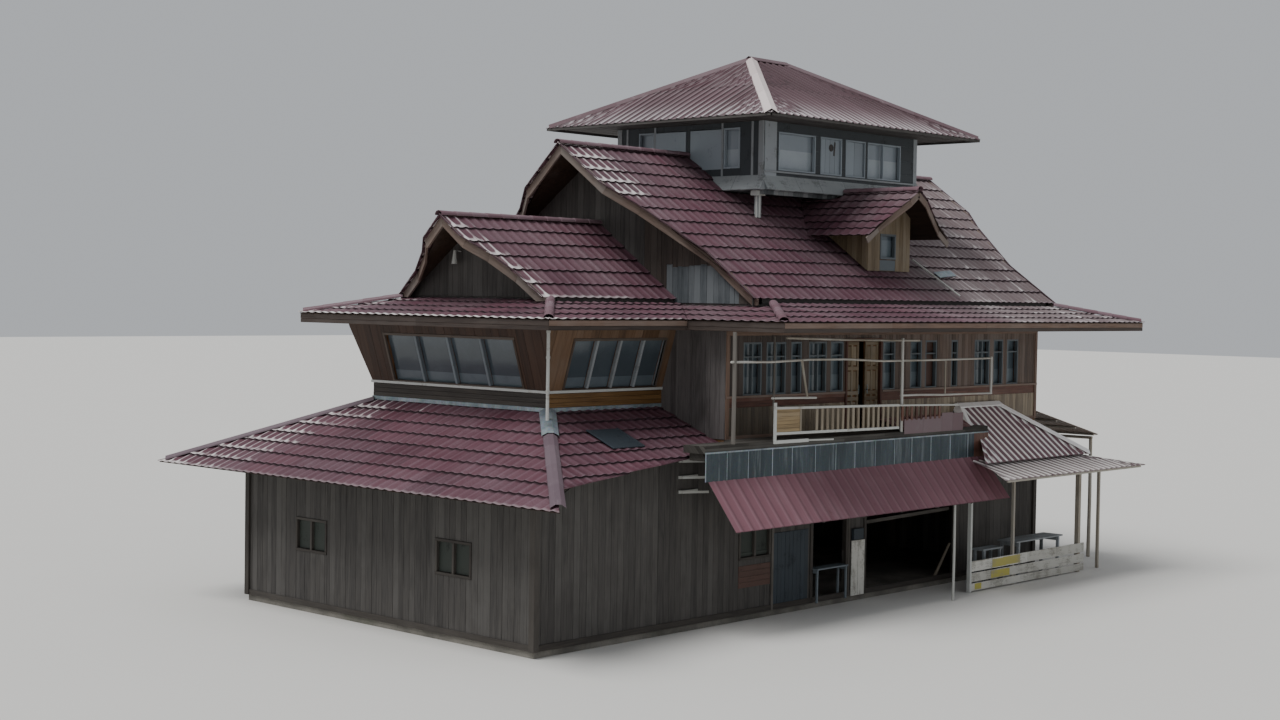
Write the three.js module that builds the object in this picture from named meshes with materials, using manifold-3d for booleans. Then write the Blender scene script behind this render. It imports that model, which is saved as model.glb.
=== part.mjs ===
// Timber house with stepped gable roofs, a hipped lookout on the ridge, a low hipped front roof,
// a side balcony with an awning below it and a small porch. Millimetres, +Z up, +Y along the ridge
// away from the front gable, +X to the balcony side.
import * as THREE from 'three';
import { mergeVertices } from 'three/addons/utils/BufferGeometryUtils.js';
import Module from 'manifold-3d';

const wasm = await Module();
wasm.setup();

// Driving dimensions
const gap = 0.3;              // clearance between neighbouring pieces
const slopeGap = 0.5;         // the same, measured straight up under a slope
const wall = 110;             // planks on their studs
const eaveZ = 6200;           // lower edge of the tiled eaves
const frontHalf = 3850;       // eaves of the narrow front part
const mainHalf = 6350;        // eaves of the main part
const mainFrontY = 3900;
const mainBackY = 18300;
const skirtPitch = 0.21;      // shallow skirt of tiles round the eaves
const sheet = 60;             // battens and tiles together
const roofPitch = 0.714;      // gable slopes
const frontRidgeZ = 8255;
const frontSlopeHalf = 2320;
const frontGableY = 1750;
const mainRidgeZ = 9940;
const mainSlopeHalf = 4620;
const gableY = 5300;          // outer faces of the two big gable walls
const backGableY = 16700;
const bargeDeep = 200;
const bargeBack = 120;        // the barge boards stand back from the edge of the tiles
const roomHalf = 2670;        // front room, measured at its base band
const roomY = 1160;
const bandTopZ = 4700;
const leanOut = 390;          // the window walls lean outward by this much
const soffitZ = 5960;
const hallHalf = 4400;        // main walls
const hallFrontY = 4450;
const hallBackY = 16400;
const floorTopZ = 3750;
const floorThick = 150;
const plinthTopZ = 120;
const lowWallFrontY = -800;   // front wall of the ground storey
const lowRoofTopZ = 4370;     // low hipped roof in front, against the base band
const lowRoofHalf = 6170;
const lowRoofFrontY = -1950;
const lowRoofPitchY = 0.46;
const balconyX = 5300;
const balconyFrontY = 2880;
const balconyBackY = 12900;
const awningBackY = 12700;
const lookHalf = 2240;        // lookout walls
const lookY0 = 8200;
const lookY1 = 14150;
const lookFloorZ = 9130;
const lookSillZ = 9480;
const lookSoffitZ = 10600;
const lookEaveZ = 10630;
const lookEaveHalf = 3470;
const lookEaveY0 = 6940;
const lookEaveY1 = 15150;
const lookPitch = 0.507;
const dormerY = 11000;        // dormer on the balcony side
const dormerRidgeZ = 9170;
const dormerHalf = 1600;
const dormerPitch = 0.675;
const porchTopZ = 4210;       // hipped porch roof against the main wall
const porchX = 5900;
const porchPitchX = 0.82;
const porchPitchY = 0.6;
const porchPitchNear = 1.19;  // its hip on the side of the balcony is steeper

function solidOf(geometry) {
  const bare = geometry.clone();
  bare.deleteAttribute('normal');
  bare.deleteAttribute('uv');
  const welded = mergeVertices(bare, 1e-3);
  return new wasm.Manifold(new wasm.Mesh({
    numProp: 3,
    vertProperties: Float32Array.from(welded.attributes.position.array),
    triVerts: Uint32Array.from(welded.index.array),
  }));
}

function box(x0, x1, y0, y1, z0, z1) {
  const geometry = new THREE.BoxGeometry(x1 - x0, y1 - y0, z1 - z0);
  geometry.translate((x0 + x1) / 2, (y0 + y1) / 2, (z0 + z1) / 2);
  return solidOf(geometry);
}

function extrude(points, depth) {
  const shape = new THREE.Shape(points.map(([a, b]) => new THREE.Vector2(a, b)));
  return new THREE.ExtrudeGeometry(shape, { depth, bevelEnabled: false });
}

// Outline in X and Z, extruded from y0 to y1
function alongY(points, y0, y1) {
  const geometry = extrude(points, y1 - y0);
  geometry.rotateX(Math.PI / 2);
  geometry.translate(0, y1, 0);
  return solidOf(geometry);
}

// Outline in Y and Z, extruded from x0 to x1
function alongX(points, x0, x1) {
  const geometry = extrude(points, x1 - x0);
  geometry.rotateX(Math.PI / 2);
  geometry.rotateZ(Math.PI / 2);
  geometry.translate(x0, 0, 0);
  return solidOf(geometry);
}

// Plan outline in X and Y, extruded from z0 to z1
function alongZ(points, z0, z1) {
  const geometry = extrude(points, z1 - z0);
  geometry.translate(0, 0, z0);
  return solidOf(geometry);
}

function join(...parts) {
  return parts.reduce((sum, part) => sum.add(part));
}

function cut(solid, ...others) {
  return others.reduce((left, other) => left.subtract(other), solid);
}

function mirrorPoints(points) {
  return points.map(([a, b]) => [-a, b]);
}

// Everything below a hipped surface whose eaves stand at height z on the plan rectangle
function underHip(x0, x1, y0, y1, z, pitchX, pitchY, bottom) {
  const midX = (x0 + x1) / 2;
  const midY = (y0 + y1) / 2;
  const ridgeX = z + (midX - x0) * pitchX;
  const ridgeY = z + (midY - y0) * pitchY;
  const across = alongY([[x0, bottom], [x1, bottom], [x1, z], [midX, ridgeX], [x0, z]], y0, y1);
  const along = alongX([[y0, bottom], [y1, bottom], [y1, z], [midY, ridgeY], [y0, z]], x0, x1);
  return across.intersect(along);
}

const house = new THREE.Group();

function piece(name, solid, look) {
  const mesh = solid.getMesh();
  const geometry = new THREE.BufferGeometry();
  geometry.setAttribute('position', new THREE.BufferAttribute(Float32Array.from(mesh.vertProperties), 3));
  geometry.setIndex(new THREE.BufferAttribute(Uint32Array.from(mesh.triVerts), 1));
  geometry.computeVertexNormals();
  const [color, roughness, metalness] = look;
  const made = new THREE.Mesh(geometry, new THREE.MeshStandardMaterial({ color, roughness, metalness }));
  made.name = name;
  house.add(made);
}

const tileRed = [0x5e3b40, 0.6, 0.2];
const ribRed = [0x6b4a50, 0.55, 0.3];
const plank = [0x7a4f2c, 0.6, 0];
const darkPlank = [0x3f332c, 0.85, 0];
const barge = [0x6a513c, 0.8, 0];
const greyBoard = [0x6f7274, 0.85, 0];
const zinc = [0x4a565e, 0.5, 0.6];
const paleWood = [0x9a9388, 0.85, 0];
const concrete = [0x77736c, 0.95, 0];
const pane = [0x4b5659, 0.15, 0];

// Main roof: two slopes whose verges lean out toward the ridge tips
const slopeThick = sheet * Math.hypot(1, roofPitch);

function slopes(ridgeZ, half, thick, y0, y1) {
  const edge = ridgeZ - half * roofPitch;
  return alongY([
    [0, ridgeZ], [-half, edge], [-half, edge - thick],
    [0, ridgeZ - thick], [half, edge - thick], [half, edge],
  ], y0, y1);
}

function underSlopes(ridgeZ, half, y0, y1, bottom) {
  const edge = ridgeZ - half * roofPitch;
  return alongY([[-half, bottom], [half, bottom], [half, edge], [0, ridgeZ], [-half, edge]], y0, y1);
}

// Skirt of tiles round all the eaves, with the front part's own corners
function underSkirt(lift, bottom) {
  return join(
    underHip(-frontHalf, frontHalf, 0, 14000, eaveZ + lift, skirtPitch, skirtPitch, bottom)
      .intersect(box(-frontHalf, frontHalf, 0, 6000, bottom, 9000)),
    underHip(-mainHalf, mainHalf, mainFrontY, mainBackY, eaveZ + lift, skirtPitch, skirtPitch, bottom),
  );
}
const skirtHoles = join(
  box(-frontSlopeHalf + 60, frontSlopeHalf - 60, frontGableY + 20, gableY + 100, 5000, 9000),
  box(-mainSlopeHalf + 60, mainSlopeHalf - 60, gableY + 20, backGableY - 20, 5000, 9000),
);
piece('eave_skirt_roof', cut(underSkirt(0, 6100), underSkirt(-sheet, 6000), skirtHoles), tileRed);

// Soffit and fascia under the skirt
function eaveOutline(inset) {
  const a = frontHalf - inset;
  const b = mainHalf - inset;
  const y = mainFrontY + inset;
  const backY = mainBackY - inset;
  return [[-a, inset], [a, inset], [a, y], [b, y], [b, backY], [-b, backY], [-b, y], [-a, y]];
}
const soffitHole = join(
  box(-2900, 2900, 900, hallFrontY + wall, 5000, 7000),
  box(-hallHalf + wall, hallHalf - wall, hallFrontY + wall - 1, hallBackY - wall, 5000, 7000),
);
const fasciaTopZ = eaveZ - sheet + 60 * skirtPitch - gap;
piece('eave_soffit', join(
  cut(alongZ(eaveOutline(60), soffitZ, fasciaTopZ), alongZ(eaveOutline(90), 5000, 7000)),
  cut(alongZ(eaveOutline(75), soffitZ, soffitZ + 30), soffitHole),
), barge);

// Front gable roof over the front room; a verge is given as its right and its left side
const frontVerge = [
  [[0, 620], [660, 620], [1040, 950], [1600, 1200], [frontSlopeHalf, 1300]],
  [[0, 620], [660, 760], [1040, 1060], [1600, 1350], [frontSlopeHalf, 1500]],
];
function vergePlan(verge, backY, inset) {
  const [right, left] = verge.map((line) => line.map(([x, y]) => [x, y + inset]));
  const half = right.at(-1)[0];
  return [...mirrorPoints(left).reverse(), ...right.slice(1), [half, backY], [-half, backY]];
}
piece('front_gable_roof', slopes(frontRidgeZ, frontSlopeHalf, slopeThick, 0, gableY - gap)
  .intersect(alongZ(vergePlan(frontVerge, 9000, 0), 5000, 12000)), tileRed);

// Barge boards hang under the verges and follow them in plan
function bargeStrip(verge) {
  return cut(
    alongZ(vergePlan(verge, 9000, bargeBack), 5000, 12000),
    alongZ(vergePlan(verge, 9001, bargeBack + 50), 4999, 12001),
  );
}
function bargeBoards(ridgeZ, half, verge) {
  const topZ = ridgeZ - slopeThick - slopeGap;
  const band = slopes(topZ, half, bargeDeep, verge[0][0][1], verge[1].at(-1)[1] + 400);
  return cut(band.intersect(bargeStrip(verge)), underSkirt(gap, 5000));
}
piece('front_barge_boards', bargeBoards(frontRidgeZ, frontSlopeHalf, frontVerge), barge);

const frontSeatZ = eaveZ + (frontGableY + 20) * skirtPitch + gap;
piece('front_gable_wall', underSlopes(
  frontRidgeZ - slopeThick - slopeGap, frontSlopeHalf - 80, frontGableY, frontGableY + wall, frontSeatZ,
), darkPlank);

// Big gable roof with an opening under the lookout; its back verges repeat the front ones
function aboutMiddle(solid) {
  return solid.translate([0, -midY, 0]).mirror([0, 1, 0]).translate([0, midY, 0]);
}
const mainVerge = [
  [[0, 3950], [1300, 3970], [1900, 4430], [2500, 4720], [3300, 5110], [mainSlopeHalf, 5080]],
  [[0, 3950], [1300, 4220], [1900, 4640], [2500, 4880], [3300, 5110], [mainSlopeHalf, 5080]],
];
const lookFloorUnder = lookFloorZ - 80;
const ledgeFlare = 200;
const roofHoleHalf = (mainRidgeZ - lookFloorUnder + slopeGap) / roofPitch;
const midY = (gableY + backGableY) / 2;
const frontPlan = alongZ(vergePlan(mainVerge, midY, 0), 5000, 12000);
const mainPlan = join(frontPlan, aboutMiddle(frontPlan));
piece('main_roof', cut(
  slopes(mainRidgeZ, mainSlopeHalf, slopeThick, 3000, 19000).intersect(mainPlan),
  box(-roofHoleHalf, roofHoleHalf, lookY0 - gap, lookY1 + gap, 8000, 12000),
), tileRed);
piece('main_barge_front', bargeBoards(mainRidgeZ, mainSlopeHalf, mainVerge), barge);

piece('main_barge_back', cut(
  slopes(mainRidgeZ - slopeThick - slopeGap, mainSlopeHalf, bargeDeep, 16000, 19000)
    .intersect(aboutMiddle(bargeStrip(mainVerge))),
  underSkirt(gap, 5000),
), barge);

const gableSeatZ = eaveZ + (gableY + 20 - mainFrontY) * skirtPitch + gap;
const backSeatZ = eaveZ + (mainBackY - backGableY + 20) * skirtPitch + gap;
const aboveSkirt = cut(underSkirt(slopeGap, 5000), skirtHoles);
function gableWall(y, seatZ) {
  const topZ = mainRidgeZ - slopeThick - slopeGap;
  return cut(underSlopes(topZ, mainSlopeHalf - 80, y, y + wall, seatZ), aboveSkirt);
}
piece('main_gable_front', gableWall(gableY, gableSeatZ), greyBoard);
piece('main_gable_back', gableWall(backGableY - wall, backSeatZ), greyBoard);

// Dormer
const dormerThick = 50 * Math.hypot(1, dormerPitch);
function dormerSlopes(ridgeZ, thick, half, x0, x1) {
  const edge = ridgeZ - half * dormerPitch;
  return alongX([
    [dormerY, ridgeZ], [dormerY - half, edge], [dormerY - half, edge - thick],
    [dormerY, ridgeZ - thick], [dormerY + half, edge - thick], [dormerY + half, edge],
  ], x0, x1);
}
const overMain = underSlopes(mainRidgeZ + slopeGap, 6000, 3000, 19000, 4000);
const dormerPlan = [
  [500, dormerY - 3000], [4300, dormerY - 3000], [4300, dormerY - 1200], [4550, dormerY - 300],
  [4550, dormerY + 300], [4300, dormerY + 1200], [4300, dormerY + 3000], [500, dormerY + 3000],
];
piece('dormer_roof', cut(
  dormerSlopes(dormerRidgeZ, dormerThick, dormerHalf, 600, 4600).intersect(alongZ(dormerPlan, 6000, 10000)),
  overMain,
  box(0, lookHalf + ledgeFlare + gap, lookY0, lookY1, lookFloorUnder - 100, 12000),
), tileRed);
const dormerWallHalf = 825;
const dormerUnder = dormerRidgeZ - dormerThick - slopeGap;
const dormerCeiling = alongX([
  [dormerY - dormerWallHalf, 6500], [dormerY + dormerWallHalf, 6500],
  [dormerY + dormerWallHalf, dormerUnder - dormerWallHalf * dormerPitch], [dormerY, dormerUnder],
  [dormerY - dormerWallHalf, dormerUnder - dormerWallHalf * dormerPitch],
], 1500, 3700);
piece('dormer_walls', cut(
  dormerCeiling, overMain,
  box(1000, 3620, dormerY - dormerWallHalf + 80, dormerY + dormerWallHalf - 80, 6000, 10000),
  box(3000, 4000, dormerY - 350, dormerY + 260, 7560, 8140),
), plank);
piece('dormer_glass', box(3606, 3619.7, dormerY - 400, dormerY + 310, 7520, 8180), pane);

// Lookout over the ridge
function ledge() {
  const half = lookHalf + ledgeFlare;
  const pitch = 1.75;
  const outer = underHip(
    -half, half, lookY0 - ledgeFlare, lookY1 + ledgeFlare,
    lookFloorUnder, pitch, pitch, lookFloorUnder - 1,
  );
  return cut(
    outer.intersect(box(-4000, 4000, 7000, 16000, 9000, lookFloorUnder + 350)),
    box(-lookHalf - gap, lookHalf + gap, lookY0 - gap, lookY1 + gap, lookFloorZ, 15000),
  );
}
let lookFloor = join(
  box(-lookHalf, lookHalf, lookY0, lookY1, lookFloorUnder, lookFloorZ),
  box(lookHalf - 120, lookHalf, lookY0, lookY1, lookFloorUnder - 90, lookFloorUnder + 10),
  box(-lookHalf, -lookHalf + 120, lookY0, lookY1, lookFloorUnder - 90, lookFloorUnder + 10),
  ledge(),
);
for (const x of [-2050, 2050]) {
  for (const y of [8260, 14090]) {
    lookFloor = lookFloor.add(box(x - 55, x + 55, y - 55, y + 55, 8000, lookFloorUnder));
  }
}
const roofBeside = cut(
  overMain, box(-roofHoleHalf, roofHoleHalf, lookY0 - gap, lookY1 + gap, 3000, 12000),
);
piece('lookout_floor', cut(lookFloor, roofBeside), greyBoard);
const sidePanes = [[8720, 10080], [10270, 11090], [11240, 12020], [12110, 13470]];
const lookWall = 90;
let lookWalls = cut(
  box(-lookHalf, lookHalf, lookY0, lookY1, lookFloorZ + gap, lookSoffitZ - gap),
  box(-lookHalf + lookWall, lookHalf - lookWall, lookY0 + lookWall, lookY1 - lookWall, 9000, 11000),
);
for (const [y0, y1] of sidePanes) {
  lookWalls = cut(lookWalls, box(-3000, 3000, y0, y1, lookSillZ + 40, 10390));
}
for (const [x0, x1, z0] of [[60, 1000, 9980], [1080, 1560, 9560]]) {
  lookWalls = cut(lookWalls, box(x0, x1, 8000, 15000, z0, 10480), box(-x1, -x0, 8000, 15000, z0, 10480));
}
piece('lookout_walls', lookWalls, greyBoard);
const lookIn = lookHalf - lookWall - gap;
const lookIn0 = lookY0 + lookWall + gap;
const lookIn1 = lookY1 - lookWall - gap;
piece('lookout_glass', cut(
  box(-lookIn, lookIn, lookIn0, lookIn1, 9500, 10520),
  box(-lookIn + 8, lookIn - 8, lookIn0 + 8, lookIn1 - 8, 9000, 11000),
), pane);

const lookSheet = 50 * Math.hypot(1, lookPitch);
function lookTop(z, bottom) {
  return underHip(-lookEaveHalf, lookEaveHalf, lookEaveY0, lookEaveY1, z, lookPitch, lookPitch, bottom);
}
const lookRidgeZ = lookEaveZ + lookEaveHalf * lookPitch;
const lookBoardHalf = lookEaveHalf - 20;
piece('lookout_roof', join(
  cut(lookTop(lookEaveZ, lookEaveZ - 60), lookTop(lookEaveZ - lookSheet, lookEaveZ - 200)),
  alongY([
    [-130, lookRidgeZ - 70], [0, lookRidgeZ - 40], [130, lookRidgeZ - 70], [130, lookRidgeZ - 40],
    [60, lookRidgeZ + 40], [-60, lookRidgeZ + 40], [-130, lookRidgeZ - 40],
  ], lookEaveY0 + lookEaveHalf - 80, lookEaveY1 - lookEaveHalf + 80),
  cut(
    box(-lookBoardHalf, lookBoardHalf, lookEaveY0 + 20, lookEaveY1 - 20, lookSoffitZ, lookSoffitZ + 30),
    box(-lookHalf + lookWall, lookHalf - lookWall, lookY0 + lookWall, lookY1 - lookWall, 9000, 12000),
  ),
), ribRed);

// Upper floor and its walls
piece('upper_floor', join(
  box(-hallHalf, hallHalf, hallFrontY, hallBackY, floorTopZ - floorThick, floorTopZ),
  box(-roomHalf, roomHalf, roomY, hallFrontY + 10, floorTopZ - floorThick, floorTopZ),
), plank);
const upZ0 = floorTopZ + gap;
const upZ1 = soffitZ - gap;
piece('upper_front_wall', cut(
  box(-hallHalf, hallHalf, hallFrontY, hallFrontY + wall, upZ0, upZ1),
  box(-2450, 2450, 4000, 5000, 3000, 5650),
), darkPlank);
const sideWindows = [
  [5000, 5600], [5750, 6400], [6570, 6930], [7180, 7800], [7940, 8400], [9860, 10340],
  [10930, 11390], [11530, 12000], [12600, 12870], [13590, 14250], [14420, 14850], [15020, 15540],
];
const doorY0 = 8480;
const doorY1 = 9790;
const doorTopZ = 5760;
const leafWide = 500;         // the two leaves stand a little apart
const sideY0 = hallFrontY + wall + gap;
const sideY1 = hallBackY - wall - gap;
piece('upper_right_wall', cut(
  box(hallHalf - wall, hallHalf, sideY0, sideY1, upZ0, upZ1),
  box(4000, 5000, doorY0, doorY1, 3000, doorTopZ),
  ...sideWindows.map(([y0, y1]) => box(4000, 5000, y0, y1, 4620, 5720)),
), plank);
let balconyDoor = cut(
  box(hallHalf - 90, hallHalf - 30, doorY0 + gap, doorY1 - gap, upZ0, doorTopZ - gap),
  box(4000, 5000, doorY0 + 50, doorY1 - 50, 3000, doorTopZ - 50),
);
for (const y of [doorY0 + 40, doorY1 - 40 - leafWide]) {
  balconyDoor = balconyDoor.add(box(hallHalf - 80, hallHalf - 45, y, y + leafWide, upZ0, doorTopZ - 40));
}
piece('balcony_door', balconyDoor, plank);
piece('upper_left_wall', cut(
  box(-hallHalf, -hallHalf + wall, sideY0, sideY1, upZ0, upZ1),
  ...sideWindows.map(([y0, y1]) => box(-5000, -4000, y0, y1, 4620, 5720)),
), plank);
piece('upper_back_wall', cut(
  box(-hallHalf, hallHalf, hallBackY - wall, hallBackY, upZ0, upZ1),
  box(-2900, -1500, 16000, 17000, 4650, 5700),
  box(1500, 2900, 16000, 17000, 4650, 5700),
), plank);
const hallIn = hallHalf - wall - gap;
piece('upper_glass', cut(
  box(-hallIn, hallIn, 4900, sideY1, 4600, 5850),
  box(-hallIn + 8, hallIn - 8, 4800, sideY1 - 8, 4000, 6000),
  box(4000, 5000, doorY0 - 30, doorY1 + 30, 4000, doorTopZ + 20),
), pane);

// Front room: upright base band and window walls that lean outward
const band = 100;
piece('front_room_band', cut(
  box(-roomHalf, roomHalf, roomY, hallFrontY - gap, floorTopZ + gap, bandTopZ),
  box(-roomHalf + band, roomHalf - band, roomY + band, 5000, 3000, 5000),
), darkPlank);
const leanZ0 = bandTopZ + gap;
const leanZ1 = soffitZ - gap;
const leanThick = 70;
const frontLean = alongX([
  [roomY, leanZ0], [roomY + leanThick, leanZ0],
  [roomY - leanOut + leanThick, leanZ1], [roomY - leanOut, leanZ1],
], -4000, 4000).intersect(alongY([
  [-roomHalf, leanZ0], [roomHalf, leanZ0],
  [roomHalf + leanOut, leanZ1], [-roomHalf - leanOut, leanZ1],
], 0, 3000));
let frontWindows = frontLean;
for (let n = 0; n < 4; n += 1) {
  const x0 = -1930 + n * 1000;
  frontWindows = cut(frontWindows, box(x0, x0 + 940, 0, 3000, 4780, 5740));
}
piece('front_window_wall', frontWindows, plank);
function sideLean(sign) {
  let solid = alongY([
    [sign * roomHalf, leanZ0], [sign * (roomHalf + leanOut), leanZ1],
    [sign * (roomHalf + leanOut - leanThick), leanZ1], [sign * (roomHalf - leanThick), leanZ0],
  ], 0, hallFrontY - gap).intersect(alongX([
    [roomY + leanThick + 2 * gap, leanZ0], [6000, leanZ0],
    [6000, leanZ1], [roomY - leanOut + leanThick + 2 * gap, leanZ1],
  ], -4000, 4000));
  for (let n = 0; n < 4; n += 1) {
    const y0 = 1560 + n * 670;
    solid = cut(solid, box(-4000, 4000, y0, y0 + 620, 4780, 5740));
  }
  return solid;
}
piece('right_window_wall', sideLean(1), plank);
piece('left_window_wall', sideLean(-1), plank);
function leanBox(inset, backY) {
  const y = roomY + leanThick + inset;
  const x = roomHalf - leanThick - inset;
  return alongX([[y, leanZ0], [backY, leanZ0], [backY, leanZ1], [y - leanOut, leanZ1]], -4000, 4000)
    .intersect(alongY([[-x, leanZ0], [x, leanZ0], [x + leanOut, leanZ1], [-x - leanOut, leanZ1]], 0, 9000));
}
piece('front_room_glass', cut(leanBox(1.1 * gap, 4250), leanBox(1.1 * gap + 8, 4400))
  .intersect(box(-4000, 4000, 0, 5000, 4750, 5770)), pane);

// Low hipped roof in front; its right side narrows toward the balcony
const lowEaveZ = lowRoofTopZ - (roomY - lowRoofFrontY) * lowRoofPitchY;
const lowRoofPitchX = (lowRoofTopZ - lowEaveZ) / (lowRoofHalf - roomHalf);
function underLow(drop) {
  return underHip(
    -lowRoofHalf, lowRoofHalf, lowRoofFrontY, 20000,
    lowEaveZ - drop, lowRoofPitchX, lowRoofPitchY, -100 - drop,
  );
}
piece('low_front_roof', cut(
  underLow(0), underLow(66),
  box(-7000, 7000, hallFrontY - gap, 21000, 0, 12000),
  box(-roomHalf - gap, roomHalf + gap, roomY - gap, 21000, 0, 12000),
  alongZ([[5500, -1355], [4650, 3700], [4650, 4600], [7500, 4600], [7500, -3132]], 0, 9000),
), tileRed);

// Corner pipe from the eaves to the low roof
const pipe = new THREE.CylinderGeometry(30, 30, 1900, 16);
pipe.rotateX(Math.PI / 2);
pipe.translate(3130, 705, soffitZ - gap - 950);
piece('corner_pipe', cut(solidOf(pipe), underLow(-slopeGap)), paleWood);

// Ground storey
piece('ground_slab', box(-hallHalf, hallHalf, lowWallFrontY, hallBackY, 0, plinthTopZ), concrete);
const lowZ0 = plinthTopZ + gap;
const lowZ1 = floorTopZ - floorThick - gap;
const lowStorey = join(
  underLow(66 + slopeGap).intersect(box(-5000, 5000, lowWallFrontY, hallFrontY + 5, lowZ0, lowZ1)),
  box(-5000, 5000, hallFrontY, hallBackY, lowZ0, lowZ1),
);
piece('lower_right_wall', cut(
  box(hallHalf - wall, hallHalf, lowWallFrontY, hallBackY, lowZ0, lowZ1).intersect(lowStorey),
  box(4000, 5000, 4950, 5980, 1250, 1950),
  box(4000, 5000, 7370, 8640, 0, 2250),
  box(4000, 5000, 9300, 12950, 0, 2250),
), darkPlank);
piece('side_bench', join(
  box(hallHalf - wall, hallHalf + 180, 7400, 8500, 820, 860),
  box(hallHalf - wall, hallHalf + 180, 7420, 7460, lowZ0, 830),
  box(hallHalf - wall, hallHalf + 180, 8440, 8480, lowZ0, 830),
), paleWood);
piece('lower_left_wall', cut(
  box(-hallHalf, -hallHalf + wall, lowWallFrontY, hallBackY, lowZ0, lowZ1).intersect(lowStorey),
  box(-5000, -4000, 4950, 5980, 1250, 1950),
  box(-5000, -4000, 9300, 10330, 1250, 1950),
), darkPlank);
const lowIn = hallHalf - wall - gap;
piece('lower_front_wall', cut(
  box(-lowIn, lowIn, lowWallFrontY, lowWallFrontY + wall, lowZ0, lowZ1).intersect(lowStorey),
  box(-2715, -1685, -1000, 0, 1250, 1950),
  box(1685, 2715, -1000, 0, 1250, 1950),
), darkPlank);
piece('lower_back_wall', cut(
  box(-lowIn, lowIn, hallBackY - wall, hallBackY, lowZ0, lowZ1),
  box(-500, 500, 16000, 17000, 0, 2150),
), darkPlank);

// Balcony, the zinc strip at its edge and the awning below
const deckZ0 = floorTopZ - floorThick;
piece('balcony_deck', join(
  box(hallHalf + gap, balconyX - 40, hallFrontY, balconyBackY, deckZ0, floorTopZ),
  box(4700, balconyX - 40, balconyFrontY, hallFrontY + 10, deckZ0, floorTopZ),
), darkPlank);
piece('balcony_zinc_strip', box(
  balconyX - 40 + gap, balconyX - 10, balconyFrontY, balconyBackY, 3050, 3620,
), zinc);
piece('awning_roof', alongY([
  [balconyX - 10 + gap, 3070], [balconyX - 10 + gap, 3030], [6000, 2130], [6030, 2155],
], 2950, awningBackY), ribRed);

// Poles stand on the deck; the balustrade is fixed to their outer side
piece('balcony_poles', join(
  box(5190, 5250, 3880, 3950, floorTopZ + gap, soffitZ - gap),
  box(5200, 5250, 4900, 4960, floorTopZ + gap, 5400),
  box(5200, 5250, 5880, 5920, 4600, 5370),
  box(5190, 5250, 9270, 9340, floorTopZ + gap, 5800),
  box(5205, 5245, 11030, 11070, 4560, 5370),
  box(5200, 5250, balconyBackY - 60, balconyBackY - 10, floorTopZ + gap, 5380),
  box(5205, 5245, 3640, balconyBackY - 10, 5330, 5370),
  box(5205, 5245, 5360, 10000, 5755, 5795),
  box(5200, 5250, 3640, balconyBackY - 10, 4570, 4620),
), paleWood);
let balustrade = join(
  box(5250 + gap, 5285, 4930, 9320, 4330, 4380),
  box(5250 + gap, 5285, 4930, 9320, 3790, 3860),
  box(5250 + gap, 5285, 4930, 4990, 3790, 4380),
  box(5250 + gap, 5275, 4980, 5780, 3850, 4340),
  box(5250 + gap, 5285, 9300, balconyBackY - 50, 4300, 4345),
  box(5250 + gap, 5285, 9300, 11300, 3790, 3840),
);
for (let y = 6290; y < 11250; y += 270) {
  balustrade = balustrade.add(box(5255, 5280, y, y + 50, 3800, 4340));
}
piece('balcony_balustrade', balustrade, paleWood);

// Reddish sheet that slopes over the deck's far end, down from the porch roof
piece('balcony_end_sheet', alongX([
  [10700, floorTopZ + gap], [10850, floorTopZ + gap], [12800, floorTopZ + 395], [12800, floorTopZ + 425],
], hallHalf + 5, 5195), ribRed);

let balconyJoists = box(5130, 5250, 2950, balconyBackY - 50, deckZ0 - 150, deckZ0 - gap);
for (let y = 4500; y < balconyBackY; y += 1350) {
  balconyJoists = balconyJoists.add(box(hallHalf + gap, 5200, y, y + 80, deckZ0 - 150, deckZ0 - gap));
}
piece('balcony_joists', join(
  balconyJoists, box(4800, 5200, 2950, 3030, deckZ0 - 150, deckZ0 - gap),
), darkPlank);

const awningUnder = alongY([
  [balconyX - 60, 3092], [6100, 2002], [6100, 4000], [balconyX - 60, 4000],
], 2900, awningBackY + 50);
piece('awning_post', cut(box(5880, 5930, 10580, 10630, 0, 2400), awningUnder), paleWood);

// Porch: steep hipped part against the wall, a shallow skirt, posts and a plank parapet
const porchRun = porchX - hallHalf;
const porchEaveZ = porchTopZ - porchRun * porchPitchX;
const porchTopY0 = 12900;
const porchTopY1 = 14500;
const porchY0 = porchTopY0 - (porchTopZ - porchEaveZ) / porchPitchNear;
const porchY1 = porchTopY1 + (porchTopZ - porchEaveZ) / porchPitchY;
function underPorch(drop) {
  const z = porchEaveZ - drop;
  const bottom = porchEaveZ - 100 - drop;
  const wallZ = z + porchRun * porchPitchX;
  return alongY([
    [2000, bottom], [porchX, bottom], [porchX, z], [hallHalf, wallZ], [2000, wallZ],
  ], porchY0, porchY1).intersect(alongX([
    [porchY0, bottom], [porchY1, bottom], [porchY1, z],
    [porchTopY1, wallZ], [porchTopY0, wallZ], [porchY0, z],
  ], 2000, porchX));
}
piece('porch_roof', cut(
  underPorch(0), underPorch(40 * Math.hypot(1, porchPitchX)),
  box(0, hallHalf + gap, 9000, 20000, 0, 6000),
  alongZ([
    [4000, 9000], [7000, 9000], [7000, 10260], [balconyX, awningBackY + 20],
    [balconyX, balconyBackY + 20], [4000, balconyBackY + 20],
  ], 0, floorTopZ + gap),
), ribRed);
function underPorchSkirt(drop, bottom) {
  return underHip(1000, 6750, 9000, 17750, 2700 - drop, 0.24, 0.18, bottom);
}
piece('porch_skirt', cut(
  underPorchSkirt(0, 2600), underPorchSkirt(35, 2500),
  box(0, 5460, 9000, 16640, 0, 6000), box(0, hallHalf + gap, 9000, 20000, 0, 6000),
  alongZ([[4000, 8000], [8000, 8000], [8000, 10368], [5900, 11900], [5800, 11973], [4000, 11973]], 0, 6000),
), ribRed);
const parapetX = 5535;        // its planks are nailed to the posts and to the bench legs
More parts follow.
